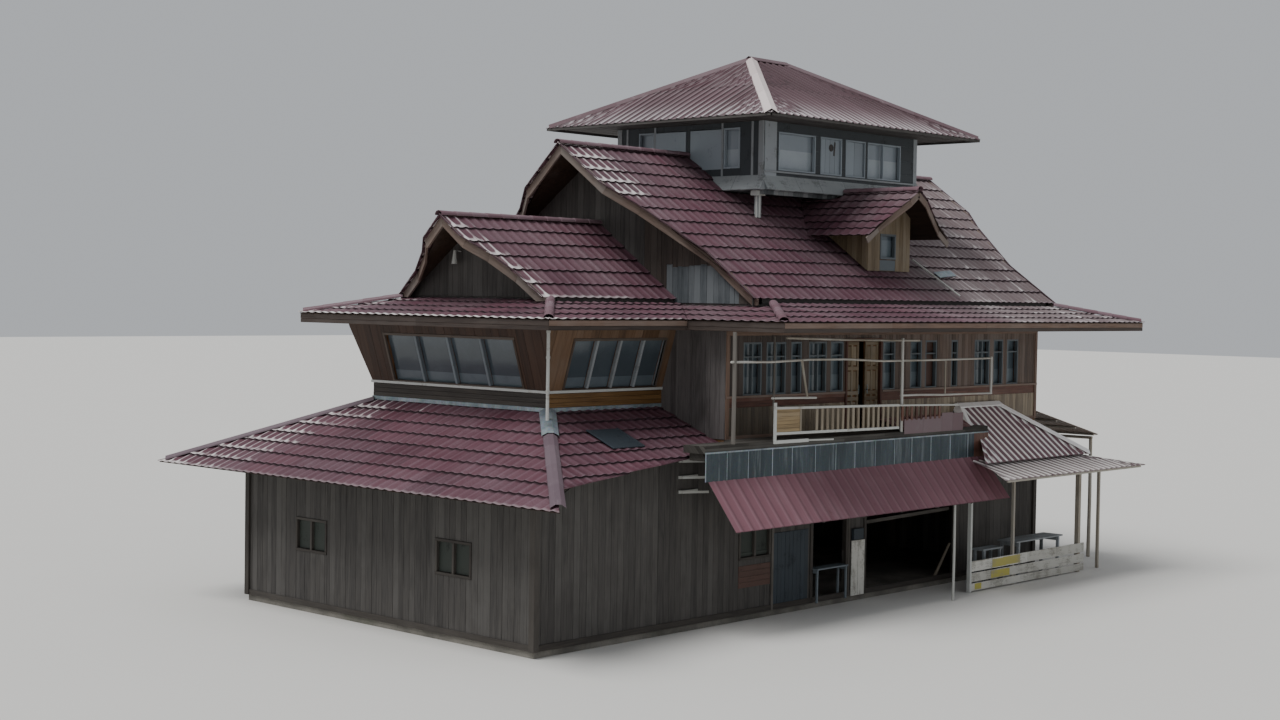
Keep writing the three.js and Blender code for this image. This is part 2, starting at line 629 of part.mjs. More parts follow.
let porchFrame = cut(box(5465, parapetX, 12760, 17735, 2000, 3100), underPorchSkirt(150, 1900));
for (const y of [13700, 16700, 17700]) {
  porchFrame = porchFrame.add(box(5465, parapetX, y - 35, y + 35, 0, 2900));
}
piece('porch_frame', porchFrame.intersect(underPorchSkirt(35 + slopeGap, -10)), paleWood);
piece('porch_bench', join(
  box(parapetX - 550, parapetX, 13850, 15950, 940, 990),
  box(parapetX - 530, parapetX, 13950, 14010, 0, 950),
  box(parapetX - 530, parapetX, 15750, 15810, 0, 950),
), paleWood);
piece('porch_parapet', join(
  box(parapetX + gap, 5560, 11850, 16950, 0, 720),
  cut(box(5465, 5560, 11815, 11885, 0, 2900), awningUnder),
), paleWood);

// Lean-to at the back
const backLeanZ = 3950;
const backRun = 19600 - hallBackY;
const backPitch = 0.23;
piece('back_roof', alongX([
  [hallBackY + gap, backLeanZ], [19600, backLeanZ - backRun * backPitch],
  [19600, backLeanZ - backRun * backPitch - 61], [hallBackY + gap, backLeanZ - 61],
], -hallHalf, hallHalf), tileRed);
const backUnder = alongX([
  [hallBackY, backLeanZ - 62], [20000, backLeanZ - 62 - (20000 - hallBackY) * backPitch],
  [20000, 5000], [hallBackY, 5000],
], -5000, 5000);
piece('back_roof_posts', cut(join(
  box(-4350, 4350, 19360, 19440, 3050, 3400),
  box(-4350, -4250, 19350, 19450, 0, 3400),
  box(4250, 4350, 19350, 19450, 0, 3400),
), backUnder), paleWood);

const bounds = new THREE.Box3().setFromObject(house);
const middle = bounds.getCenter(new THREE.Vector3());
house.position.set(-middle.x, -middle.y, -bounds.min.z);
const object = new THREE.Group();
object.add(house);

export default object;
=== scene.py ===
import math
import random
import bpy
import bmesh
from mathutils import Matrix, Vector


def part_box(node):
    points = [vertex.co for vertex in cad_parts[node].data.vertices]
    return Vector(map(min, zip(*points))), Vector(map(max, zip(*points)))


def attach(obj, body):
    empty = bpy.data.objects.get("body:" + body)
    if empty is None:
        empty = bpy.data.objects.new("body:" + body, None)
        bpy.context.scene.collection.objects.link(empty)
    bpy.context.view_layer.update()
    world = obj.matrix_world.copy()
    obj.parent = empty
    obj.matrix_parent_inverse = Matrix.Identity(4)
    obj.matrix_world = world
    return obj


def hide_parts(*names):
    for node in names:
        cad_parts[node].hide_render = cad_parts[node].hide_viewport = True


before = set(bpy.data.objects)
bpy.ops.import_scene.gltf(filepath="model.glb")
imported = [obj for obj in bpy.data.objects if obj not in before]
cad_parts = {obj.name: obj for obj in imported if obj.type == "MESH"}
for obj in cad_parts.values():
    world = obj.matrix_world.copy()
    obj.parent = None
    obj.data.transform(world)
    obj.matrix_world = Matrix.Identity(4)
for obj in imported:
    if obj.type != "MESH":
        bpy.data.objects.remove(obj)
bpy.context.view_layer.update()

dice = random.Random(11)
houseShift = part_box("ground_slab")[0] - Vector((-4.4, -0.8, 0))   # from the house's own axes
skyward = Vector((0, 0, 1))

cameraFacts = {
    "place": (28.309, -32.846, 6.61),
    "azimuth": 42.9,         # degrees, turned from +Y toward -X
    "pitch": -1.95,
    "roll": 0.9,
    "lens": 52.0,
}


def addObject(name, data):
    made = bpy.data.objects.new(name, data)
    bpy.context.scene.collection.objects.link(made)
    return made


def makeCamera(facts):
    data = bpy.data.cameras.new("photoCamera")
    data.lens = facts["lens"]
    data.sensor_width = 36
    data.clip_end = 500
    camera = addObject("photoCamera", data)
    turn = Matrix.Rotation(math.radians(facts["azimuth"]), 4, "Z")
    tilt = Matrix.Rotation(math.radians(90 + facts["pitch"]), 4, "X")
    roll = Matrix.Rotation(math.radians(facts["roll"]), 4, "Z")
    camera.matrix_world = Matrix.Translation(facts["place"]) @ turn @ tilt @ roll
    bpy.context.scene.camera = camera


makeCamera(cameraFacts)


# Shader helpers: a wire is a socket that can be added, multiplied and divided
class Wire:
    def __init__(self, finish, socket):
        self.finish, self.socket = finish, socket

    def math(self, kind, first, second=0.0):
        return self.finish.node("ShaderNodeMath", {"operation": kind}, {0: first, 1: second})

    def __add__(self, other):
        return self.math("ADD", self, other)

    def __sub__(self, other):
        return self.math("SUBTRACT", self, other)

    def __rsub__(self, other):
        return self.math("SUBTRACT", other, self)

    def __mul__(self, other):
        return self.math("MULTIPLY", self, other)

    def __truediv__(self, other):
        return self.math("DIVIDE", self, other)

    def __abs__(self):
        return self.math("ABSOLUTE", self)

    __radd__ = __add__
    __rmul__ = __mul__

    def fract(self):
        return self.math("FRACT", self)

    def floor(self):
        return self.math("FLOOR", self)


def tint(code):
    # sRGB hex to the linear values that shaders take
    parts = [int(code[n:n + 2], 16) / 255 for n in (0, 2, 4)]
    return tuple(c / 12.92 if c < 0.04045 else ((c + 0.055) / 1.055) ** 2.4 for c in parts) + (1.0,)


class Finish:
    def __init__(self):
        self.material = bpy.data.materials.new("finish")
        self.material.use_nodes = True
        self.tree = self.material.node_tree
        self.surface = self.tree.nodes["Principled BSDF"]
        self.place = self.coords("Object")
        self.colour = None

    def feed(self, socket, value):
        if isinstance(value, Wire):
            self.tree.links.new(value.socket, socket)
        else:
            socket.default_value = value

    def node(self, kind, settings, inputs, output=0):
        made = self.tree.nodes.new(kind)
        for key, value in settings.items():
            setattr(made, key, value)
        for key, value in inputs.items():
            self.feed(made.inputs[key], value)
        return Wire(self, made.outputs[output])

    def coords(self, kind):
        return self.node("ShaderNodeTexCoord", {}, {}, kind)

    def tone(self):
        return self.node("ShaderNodeAttribute", {"attribute_name": "tone"}, {}, "Fac")

    def split(self, vector):
        parts = self.node("ShaderNodeSeparateXYZ", {}, {0: vector})
        return [Wire(self, socket) for socket in parts.socket.node.outputs]

    def join(self, x, y, z=0.0):
        return self.node("ShaderNodeCombineXYZ", {}, {0: x, 1: y, 2: z})

    def noise(self, vector, scale, detail=3.0, rough=0.55, warp=0.0):
        return self.node("ShaderNodeTexNoise", {}, {
            "Vector": vector, "Scale": scale, "Detail": detail, "Roughness": rough, "Distortion": warp})

    def cell(self, x, y):
        return self.node("ShaderNodeTexWhiteNoise", {"noise_dimensions": "2D"}, {"Vector": self.join(x, y)})

    def smooth(self, value, low, high, bottom=0.0, top=1.0):
        return self.node("ShaderNodeMapRange", {"interpolation_type": "SMOOTHSTEP"}, {
            "Value": value, "From Min": low, "From Max": high, "To Min": bottom, "To Max": top})

    def lay(self, share, over, under=None, kind="MIX"):
        # mixes a colour over what is there, or over the colour under it
        under = tint(under) if under else self.colour
        over = tint(over) if isinstance(over, str) else over
        self.colour = self.node("ShaderNodeMix", {"data_type": "RGBA", "blend_type": kind}, {
            0: share, 6: under, 7: over}, 2)

    def cover(self, roughness, height=None, depth=0.01, glint=0.5, **constants):
        self.surface.inputs["Specular IOR Level"].default_value = glint
        self.feed(self.surface.inputs["Base Color"], self.colour)
        self.feed(self.surface.inputs["Roughness"], roughness)
        if height is not None:
            bump = self.node("ShaderNodeBump", {}, {"Strength": 1.0, "Distance": depth, "Height": height})
            self.feed(self.surface.inputs["Normal"], bump)
        for key, value in constants.items():
            self.feed(self.surface.inputs[key], value)
        return self.material


tilePaint = {
    "paint": "52343e", "rich": "603f49", "faded": "746866", "dust": "9f9899",
    # the dark colour is dirt in the troughs and painted shade under each butt; edge and gleam are painted
    # highlights
    "dirtAndShade": "2a1b20", "edge": "93808a", "gleam": "ddd6d4",
    "fade": (3.5, 6.5),      # where along the house the paint begins to fade, and where it is faded
    "eaveShine": 0.75,
}
lowTilePaint = dict(tilePaint, paint="4e2e38", rich="5f3c46", dust="8c7d85",
                    fade=(32.0, 42.0), eaveShine=0.1)


def tileFinish(facts):
    # u counts tile waves and v counts courses; tone is how much painted highlight a tile gets where it
    # catches the sky
    f = Finish()
    u, v, _ = f.split(f.coords("UV"))
    _, along, up = f.split(f.place)
    wave, share = u.fract(), v.fract()
    sheetTone = f.cell((u / 4.0).floor(), (v / 2.0).floor())
    rowTone = f.cell(v.floor(), 3.0)
    patches = f.noise(f.place, 0.7, 4.0)
    grit = f.noise(f.place, 45.0, 4.0, 0.7)
    streaks = f.noise(f.join(u * 2.4, v * 0.18), 1.0, 3.0)
    f.lay(f.smooth(sheetTone * 0.7 + rowTone * 0.3, 0.1, 0.9), facts["rich"], facts["paint"])
    fade = f.smooth(along + patches * 4.0, *facts["fade"])
    f.lay(fade * 0.75, facts["faded"])
    dusty = f.smooth(patches * 0.6 + streaks * 0.5, 0.42, 0.76) * (0.4 + 0.35 * fade)
    f.lay(dusty * f.smooth(grit, 0.25, 0.7), facts["dust"])
    crest = f.smooth(wave, 0.75, 1.0) + f.smooth(wave, 0.25, 0.0)
    butt = f.smooth(share, 0.1, 0.0)
    # painted highlight: the edge colour lightens the butt of each course and the tile crests
    f.lay(butt * (0.3 + 0.4 * fade) * f.smooth(streaks, 0.3, 0.6), facts["edge"])
    f.lay(crest * 0.14, facts["edge"])
    # painted highlight: pale strokes on crests and butts where the tiles catch the sky, more where the paint
    # is faded
    fadeShine = fade * (0.37 + 0.04 * f.smooth(up, 6.75, 6.6))
    shine = f.smooth(f.tone() + fadeShine + (streaks - 0.5) * 0.9 + (patches - 0.5) * 0.5, 0.34, 0.62)
    stroke = f.smooth(crest * 0.6 + f.smooth(share, 0.4, 0.1) * 0.6, 0.25, 0.75)
    f.lay(shine * stroke * 0.9, facts["gleam"])
    # painted highlight: a bright thin line along the first course of the front eaves
    eaveLine = f.smooth(v, 0.2, 0.05) * (f.smooth(along, -8.2, -8.6) + 0.45 * f.smooth(along, -4.8, -5.1))
    f.lay(eaveLine * f.smooth(streaks, 0.15, 0.45) * facts["eaveShine"], facts["gleam"])
    # painted shade: the top of each course darkens where the next course's butt overhangs it
    shadow = f.smooth(share, 0.80, 0.97) * f.smooth(f.noise(f.join(u, v), 0.9), 0.2, 0.55, 0.55, 1.0)
    f.lay(shadow, facts["dirtAndShade"])
    trough = f.smooth(wave, 0.3, 0.5) * f.smooth(wave, 0.8, 0.6)
    f.lay(trough * f.smooth(streaks, 0.45, 0.75) * 0.35, facts["dirtAndShade"])
    return f.cover(0.45 + 0.25 * dusty + 0.2 * shadow + grit * 0.12, grit * 0.5 + streaks * 0.5, 0.002, 0.22)


def ribFinish(paint, rich, dust, crest, dirtAndShade, patchScale, dustHigh, dustShare, crestShare, rustShare,
              crestWide=0.22, crestWorn=0.55, groove=0.6, highDust=0.35, highCrest=1.0):
    # u counts ribs, v is metres up the slope; crests keep dust or pale paint
    f = Finish()
    u, v, _ = f.split(f.coords("UV"))
    wave = u.fract()
    patches = f.noise(f.place, patchScale, 5.0, 0.6)
    grit = f.noise(f.place, 60.0, 4.0, 0.7)
    streaks = f.noise(f.join(u * 3.0, v * 0.35), 1.0, 4.0, 0.6)
    f.lay(f.smooth(f.cell((u / 3.0).floor(), (v / 1.9).floor()), 0.0, 1.0), rich, paint)
    low = f.smooth(v + patches * 1.2, dustHigh + 0.6, 0.2)
    fresh = 1 - f.tone() * 0.85
    dusty = f.smooth(patches * 0.55 + streaks * 0.5, 0.62 - dustShare * 0.3, 0.8) * fresh
    f.lay(dusty * (highDust + (1 - highDust) * low) * 0.85, dust)
    top = f.smooth(wave, 0.90, 0.99) + f.smooth(wave, crestWide + 0.05, crestWide - 0.05)
    worn = f.smooth(streaks + low * 0.4, 0.15, crestWorn)
    f.lay(top * crestShare * worn * fresh * (highCrest + (1 - highCrest) * low), crest)
    f.lay(f.smooth(wave, 0.18, 0.26) * f.smooth(wave, 0.42, 0.30) * groove, dirtAndShade)
    f.lay(f.smooth(abs((v / 1.9).fract() - 0.5), 0.488, 0.5) * 0.7, dirtAndShade)
    f.lay(f.smooth(f.noise(f.place, 3.1, 6.0, 0.7), 0.62, 0.75) * rustShare, "4a2a1e")
    # painted shade: faces with tone, the lookout's two long slopes, are darkened
    f.lay(f.tone() * 0.35, dirtAndShade)
    return f.cover(0.5 + 0.25 * dusty + grit * 0.15, grit * 0.5 + streaks * 0.4, 0.002, 0.2)


def woodFinish(pale, dark, rough=0.6, worn=0.0, grey="8b8780", along=None, pitch=0.16, vary=0.3, paintedShade=None):
    # boards carry their own coordinates in metres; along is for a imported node, which has none
    f = Finish()
    if along is None:
        u, v, _ = f.split(f.coords("UV"))
        tone = f.tone()
    else:
        x, y, z = f.split(f.place)
        u, v = {"y": (y, z + x), "z": (z, x + y)}[along]
        row = (v / pitch).floor()
        tone = f.cell(row, (u / 2.3 + row * 0.37).floor())
    grain = f.noise(f.join(u * 1.6, v * 26.0, tone * 31.0), 1.0, 5.0, 0.6, 0.35)
    fibre = f.noise(f.join(u * 6.0, v * 190.0, tone * 17.0), 1.0, 3.0)
    figure = f.noise(f.join(u * 0.7, v * 7.0, tone * 11.0), 1.0, 2.0, 0.5, 1.4)
    stain = f.noise(f.place, 1.3, 5.0, 0.6)
    f.lay(f.smooth(grain * 0.55 + figure * 0.3 + tone * vary, 0.15 + vary / 2, 0.52 + vary), pale, dark)
    f.lay(f.smooth(fibre, 0.55, 0.75) * 0.35, dark)
    weather = f.smooth(stain * 0.7 + tone * 0.35 + grain * 0.15, 0.62 - worn * 0.4, 0.95 - worn * 0.35)
    f.lay(weather * min(1.0, worn + 0.15), grey)
    f.lay(f.smooth(f.noise(f.place, 0.45, 4.0), 0.58, 0.75) * 0.35, "1d1713")      # damp
    if paintedShade:
        # painted shade, darkest at the front of the hall where the front room keeps the light off, thinning
        # out along the wall
        f.lay(f.smooth(f.split(f.place)[1] + stain, paintedShade[1], paintedShade[0]) * 0.62, "1b1a1b")
    if along is not None:
        f.lay(f.smooth(abs((v / pitch).fract() - 0.5), 0.46, 0.5) * 0.8, "120d0a")
    return f.cover(rough + grain * 0.2 - 0.08, grain * 0.6 + fibre * 0.4, 0.0025, 0.25)


def paintFinish(paint, under, wear=0.4, rough=0.55):
    # old paint on timber, rubbed through in places and flecked with dirt
    f = Finish()
    u, v, _ = f.split(f.coords("UV"))
    tone = f.tone()
    grain = f.noise(f.join(u * 2.0, v * 40.0, tone * 23.0), 1.0, 4.0)
    cloud = f.noise(f.place, 2.4, 6.0, 0.65)
    fine = f.noise(f.place, 28.0, 5.0, 0.7)
    f.lay(tone * 0.35 + cloud * 0.2, under, paint)
    bare = f.smooth(cloud * 0.55 + fine * 0.3 + grain * 0.25, 0.66 - wear * 0.18, 0.74 - wear * 0.12)
    f.lay(bare * 0.8, under)
    f.lay(f.smooth(fine, 0.62, 0.8) * 0.4, "3a352f")
    return f.cover(rough + bare * 0.25, grain * 0.4 - bare * 0.5, 0.002, 0.3)


def zincFinish(pale, dark, metal=0.55, rough=0.4, seams=0.0):
    f = Finish()
    x, y, z = f.split(f.place)
    spangle = f.node("ShaderNodeTexVoronoi", {"feature": "F1"}, {"Vector": f.place, "Scale": 38.0}, "Color")
    drawn = f.node("ShaderNodeMapping", {}, {"Vector": f.place, "Scale": (1, 1, 0.25)})
    cloud = f.noise(drawn, 2.2, 6.0, 0.65)
    streaks = f.noise(f.join(x * 9.0 + y * 9.0, z * 0.7), 1.0, 5.0, 0.65)
    f.lay(f.smooth(cloud, 0.3, 0.7), pale, dark)
    f.lay(0.14, spangle, kind="OVERLAY")
    f.lay(f.smooth(streaks, 0.5, 0.72) * 0.4, "9aa3a6")
    f.lay(f.smooth(f.noise(f.place, 4.0, 6.0, 0.7), 0.6, 0.74) * 0.5, "5b4334")
    if seams:
        f.lay(f.cell((y / seams).floor(), 5.0) * 0.3, "2f3a40")
    return f.cover(rough + cloud * 0.3, streaks * 0.5, 0.0015, Metallic=metal)


def glassFinish(deep, haze, seeThrough):
    f = Finish()
    film = f.noise(f.place, 1.7, 5.0, 0.6)
    spots = f.noise(f.place, 22.0, 5.0, 0.7)
    low = f.smooth(f.split(f.place)[2].fract(), 0.3, 0.9)
    dirty = f.smooth(film * 0.5 + spots * 0.2 + low * 0.35, 0.3, 0.85)
    f.lay(dirty * 0.55, haze, deep)
    return f.cover(0.1 + dirty * 0.15, film, 0.002, Alpha=seeThrough + dirty * 0.1)


def concreteFinish():
    f = Finish()
    cloud = f.noise(f.place, 1.1, 6.0, 0.65)
    pits = f.noise(f.place, 26.0, 5.0, 0.75)
    f.lay(f.smooth(cloud, 0.3, 0.7), "86827a", "5d5a54")
    f.lay(f.smooth(pits, 0.55, 0.7) * 0.5, "3d3b36")
    f.lay(f.smooth(f.noise(f.place, 0.6, 5.0), 0.55, 0.7) * 0.5, "4c5140")
    return f.cover(0.85 + cloud * 0.1, pits * 0.7 + cloud * 0.3, 0.006)


# Every finish, grouped under a slot name
finishesOf = {
    "tile_red": {
        "tiles": tileFinish(tilePaint),
        "lowTiles": tileFinish(lowTilePaint),
        "capPaint": paintFinish("6c4f57", "94838a", 0.3, 0.45),
        "verge": paintFinish("3f2a30", "5d4b50", 0.3, 0.5),
        "hipBrown": paintFinish("62525a", "7d7076", 0.3, 0.5),
        "rustRibs": ribFinish("5f5048", "6e5d53", "8e8a82", "8b8178", "2e2520", 1.1, 1.0, 0.5, 0.4, 0.9),
    },
    "ribbed_red": {
        "whiteCap": paintFinish("fffdfb", "d9cfcc", 0.2, 0.45),
        "endPanel": paintFinish("6a5358", "7d7174", 0.4, 0.5),
        "paleCap": paintFinish("e6dad7", "a08a8a", 0.2, 0.45),
        "darkCap": paintFinish("5a4147", "8a7a7e", 0.3, 0.45),
        "lookoutRibs": ribFinish("53393f", "5f444b", "bdb9ba", "d3cecf", "281b1e", 1.6, 1.3, 0.8, 0.75, 0.4,
                                 highDust=0.18, highCrest=0.2),
        "awningRibs": ribFinish("745059", "7f5962", "9c878d", "90727a", "452a31", 1.3, 0.6, 0.45, 0.35, 0.3,
                                groove=0.3),
        "porchRibs": ribFinish("795a61", "84656d", "d4cccc", "fffdfb", "341f24", 1.2, 0.9, 0.3, 1.0, 0.2,
                               crestWide=0.36, crestWorn=0.3, groove=0.5),
        "skirtRibs": ribFinish("6b5559", "88787b", "ddd7d4", "fbf5f1", "3a282c", 1.9, 1.4, 0.8, 0.9, 0.5,
                               crestWide=0.3, crestWorn=0.4),
        "dustyRibs": ribFinish("7a5557", "876062", "9b8f8c", "a89493", "3a2224", 1.4, 1.0, 0.7, 0.5, 0.5),
    },
    "barge_wood": {
        "barge": woodFinish("7b6a60", "53453d", 0.65, 0.4, "85807b", vary=0.1),
        "fascia": woodFinish("7c6557", "57453a", 0.6, 0.3, "857b75", vary=0.1),
        "shadyFascia": woodFinish("4a403b", "2c2623", 0.65, 0.2, "5c5652", vary=0.1),
    },
    "varnished_wood": {
        "soffit": woodFinish("6f5039", "3b281c", 0.6, 0.1, "7c7066", "y", 0.14),
        "orange": woodFinish("7a5f48", "4a3829", 0.45, 0.1, vary=0.2),
        "frontPlanks": woodFinish("4c372b", "2b1f18", 0.5, 0.05, "4e453f", vary=0.2),
        # hall boards: painted shade thickest at the front of the hall; the upper boards are also darkened
        # overall as painted shade under the eaves
        "hallPlanks": woodFinish("6f5c50", "41352e", 0.5, 0.25, "74706e", paintedShade=(-3.0, 3.0)),
        "hallLow": woodFinish("9a8b73", "63564a", 0.45, 0.2, "8c877c", paintedShade=(-3.6, 1.5)),
        "yellow": woodFinish("8c6b42", "593f22", 0.45, 0.1),
        "dullYellow": woodFinish("83745c", "584b3a", 0.55, 0.2),
        "redBrown": woodFinish("6c473a", "412821", 0.5, 0.1),
        "tan": woodFinish("a58f6b", "6e5d43", 0.55, 0.15, vary=0.2),
        "paleSticks": woodFinish("a39884", "72675a", 0.55, 0.3, vary=0.25),
        "insideWalls": woodFinish("7a5534", "40280f", 0.6, 0.1, "7c7066", "z", 0.17),
        "floor": woodFinish("7d5c3c", "49321d", 0.55, 0.1, "7c7066", "y", 0.14),
        "dullWood": woodFinish("5c5047", "3a3029", 0.7, 0.3, "6c6863"),
    },
    "dark_wood": {
        "lining": woodFinish("4a3a2e", "241a14", 0.75, 0.1),
        "dark": woodFinish("53504d", "353332", 0.7, 0.2, "686663", vary=0.12),
        "recess": woodFinish("6b6665", "454241", 0.7, 0.2, "75726f", vary=0.15),
        "gableBrown": woodFinish("4f4741", "332e2b", 0.75, 0.2, "5d5955", vary=0.15),
        "bandBoards": woodFinish("49443f", "2f2b29", 0.6, 0.2, "5a5753", vary=0.15),
        "darkWalls": woodFinish("6b6762", "413e3b", 0.75, 0.2, "77746f", "z", 0.17),
        "deck": woodFinish("4a4641", "2c2a27", 0.7, 0.4, "5c5b57", "y", 0.12),
        "deckPlanks": woodFinish("4a4641", "2c2a27", 0.7, 0.4, "5c5b57", vary=0.15),
        "bluePanel": paintFinish("39424a", "2d3236", 0.4, 0.6),
        "greenPanel": paintFinish("3c433d", "2a2d2a", 0.4, 0.6),
        "redPanel": paintFinish("5c443c", "3a2e29", 0.4, 0.6),
    },
    "grey_wood": {
        "grey": woodFinish("62686b", "43484b", 0.8, 0.5, "757a7c", vary=0.2),
        "greyWalls": woodFinish("83878a", "4d5255", 0.8, 0.6, "989c9d", "z", 0.18),
        "blueFrame": paintFinish("5f686e", "464948", 0.35, 0.5),
        "lookoutGrey": paintFinish("41464a", "35383a", 0.45, 0.65),
        "panePaint": paintFinish("97a1a9", "747c83", 0.2, 0.4),
        "ledge": paintFinish("a7acae", "6b6e6e", 0.6, 0.6),
    },
    "pale_wood": {
        "pale": woodFinish("b3a998", "7b7062", 0.7, 0.5, "a9a6a0"),
        "balconyPole": woodFinish("c2bcb0", "80786b", 0.6, 0.5, "b9bcbb"),
        "dullPole": woodFinish("6f6a64", "47433e", 0.7, 0.3, "7b7772"),
        "white": paintFinish("c9ccc9", "8c8578", 0.35),
        "parapet": paintFinish("d3d2cb", "8e8a80", 0.75, 0.6),
        "yellowPaint": paintFinish("bcb23c", "9a9484", 0.5, 0.6),
        "benchPaint": paintFinish("7d878e", "5a5f63", 0.4, 0.6),
        "greyPaint": paintFinish("9aa0a5", "6d6e6b", 0.45, 0.6),
    },
    "zinc": {
        "zinc": zincFinish("4c575d", "333c42", seams=0.72),
        "flashing": zincFinish("a3adb3", "6b767d", 0.45, 0.4),
    },
    "glass": {
        "glass": glassFinish("525d64", "79858c", 0.95),
        "roomGlass": glassFinish("4a535a", "737f86", 0.9),
        # pale glass of the lookout: painted reflection of the sky
        "skyReflectGlass": glassFinish("8d979f", "b4bcc2", 0.94),
    },
    "concrete": {"concrete": concreteFinish()},
}
finishes = {name: (material, slot) for slot, made in finishesOf.items() for name, material in made.items()}
for name, (material, slot) in finishes.items():
    material.name = name + "Finish"
print("finishes made:", len(finishes))


# Mesh helpers: everything is drawn in the house's own axes and moved once at the end
def newBody():
    bm = bmesh.new()
    bm.loops.layers.uv.new("UVMap")
    bm.verts.layers.float.new("tone")
    return bm


def newBodies(count):
    return [newBody() for n in range(count)]


def closePiece(name, bm, finish, node=None, slot=None, bevel=0.004, thick=0.0, soften=None):
    # boards get bevelled edges, sheets a thickness and round pieces smooth sides
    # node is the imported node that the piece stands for
    if thick:
        bmesh.ops.solidify(bm, geom=bm.faces[:], thickness=thick)
    elif bevel and not soften:
        bmesh.ops.bevel(bm, geom=bm.edges[:], offset=bevel, segments=1, profile=0.5,
                        affect="EDGES", clamp_overlap=True, material=-1)
    bmesh.ops.recalc_face_normals(bm, faces=bm.faces)
    bmesh.ops.translate(bm, verts=bm.verts, vec=houseShift)
    mesh = bpy.data.meshes.new(name)
    bm.to_mesh(mesh)
    bm.free()
    if soften:
        mesh.shade_smooth()
        mesh.set_sharp_from_angle(angle=math.radians(soften))
    piece = addObject(name, mesh)
    material, usual = finishes[finish]
    mesh.materials.append(material)
    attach(piece, "root")
    slot or usual
    if node:
        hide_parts(node)


def closeRoof(name, node, tiles, lining, caps, under=0.02, finish="tiles", capFinish="capPaint",
              capSoften=40):
    closePiece(name + "_tiles", tiles, finish, node, thick=0.006, soften=35)
    closePiece(name + "_lining", lining, "lining", node, thick=under)
    closePiece(name + "_caps", caps, capFinish, node, thick=0.004, soften=capSoften)


def dress(finish, *nodes):
    for name in nodes:
        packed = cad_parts[name]
        packed.data.materials.clear()
        packed.data.materials.append(finishes[finish][0])


def markParts(bm, verts, tone, spot):
    # one tone for a whole part, and a pattern place for each of its corners
    toneLayer, uvLayer = bm.verts.layers.float["tone"], bm.loops.layers.uv.active
    for vert in verts:
        vert[toneLayer] = tone
    for face in {f for vert in verts for f in vert.link_faces}:
        for loop in face.loops:
            loop[uvLayer].uv = spot(loop.vert.co)


def addGrid(bm, columns, rows, place):
    # a grid whose points are moved to place(i, j), which gives a point, its pattern place and its tone
    toneLayer, uvLayer = bm.verts.layers.float["tone"], bm.loops.layers.uv.active
    made = bmesh.ops.create_grid(bm, x_segments=columns, y_segments=rows, size=0.5)["verts"]
    spots = {}
    for vert in made:
        i = round((vert.co.x + 0.5) * columns)
        j = round((vert.co.y + 0.5) * rows)
        vert.co, spots[vert], vert[toneLayer] = place(i, j)
    faces = list({face for vert in made for face in vert.link_faces})
    for face in faces:
        for loop in face.loops:
            loop[uvLayer].uv = spots[loop.vert]
    return made, faces


def bent(line, at):
    # straight pieces between the points of a line
    for (x0, y0), (x1, y1) in zip(line, line[1:]):
        if at <= x1:
            return y0 + (y1 - y0) * max(0.0, at - x0) / (x1 - x0)
    return line[-1][1]


tileSheet = {
    "wave": 0.25, "course": 0.465, "step": 0.024, "lift": 0.0,
    "profile": [(0, 0), (0.18, -0.006), (0.36, -0.018), (0.5, -0.022), (0.7, -0.021), (0.86, -0.011), (1, 0)],
}
ribSheet = {
    "wave": 0.24, "course": 0, "step": 0, "lift": 0.0,
    "profile": [(0, 0), (0.18, 0), (0.28, -0.026), (0.9, -0.026), (1, 0)],
}
flatSheet = {"wave": 0.8, "course": 0, "step": 0, "lift": -0.05, "profile": [(0, 0), (1, 0)]}


def sideEave(x, z, hand):
    # an eave that runs along the house: a point on it, its direction and the way in
    return (x * hand, 0, z), (0, 1, 0), (-hand, 0, 0)


def endEave(y, z, inward, heading=1):
    return (0, y, z), (heading, 0, 0), (0, inward, 0)


def addSheet(bm, sheet, eave, pitch, run, reach, shine=(0.0, 1.0, 0.0)):
    # run: how far in from the eave it starts and ends; reach(r) gives its two edges there
    # shine: painted light kept as tone, a highlight on tiles and shade on ribbed sheets: how strong it is at
    # the near end, how far it carries and from which row up
    origin, along, inward = [Vector(part) for part in eave]
    slant = math.hypot(1, pitch)
    normal = (skyward - inward * pitch).normalized()
    total = (run[1] - run[0]) * slant
    course = sheet["course"] or total
    rows = []
    start = 0.0
    while start < total - 0.02:
        end = min(start + course, total)
        fall = sheet["step"] * (end - start) / course
        rows += [(start, 0.0), ((start + end) / 2, -fall / 2), (max(end - 0.012, start), -fall)]
        start += course
    rows.append((total, rows[-1][1]))
    ends = [reach(run[0] + t / slant) for t, h in rows]
    low, high = min(e[0] for e in ends), max(e[1] for e in ends)
    wave = sheet["wave"]
    marks = [low, high]
    for n in range(math.floor(low / wave), math.ceil(high / wave) + 1):
        marks += [wave * (n + share) for share, h in sheet["profile"][:-1]]
    marks = sorted({round(m, 4) for m in marks if low <= m <= high})

    def place(i, j):
        t, fall = rows[j]
        r = run[0] + t / slant
        first, last = ends[j]
        s = min(max(marks[i], first), last)
        h = bent(sheet["profile"], (s / wave) % 1.0) + fall + sheet["lift"]
        spot = origin + along * s + inward * r + skyward * (r * pitch) + normal * h
        tone = shine[0] * max(0.0, 1 - (s - first) / shine[1]) * min(1.0, max(0.0, (r - shine[2]) / 0.5))
        return spot, (s / wave, t / (sheet["course"] or 1.0)), tone

    made, faces = addGrid(bm, len(marks) - 1, len(rows) - 1, place)
    if along.cross(inward).z < 0:
        bmesh.ops.reverse_faces(bm, faces=faces)
    bmesh.ops.remove_doubles(bm, verts=made, dist=0.0004)


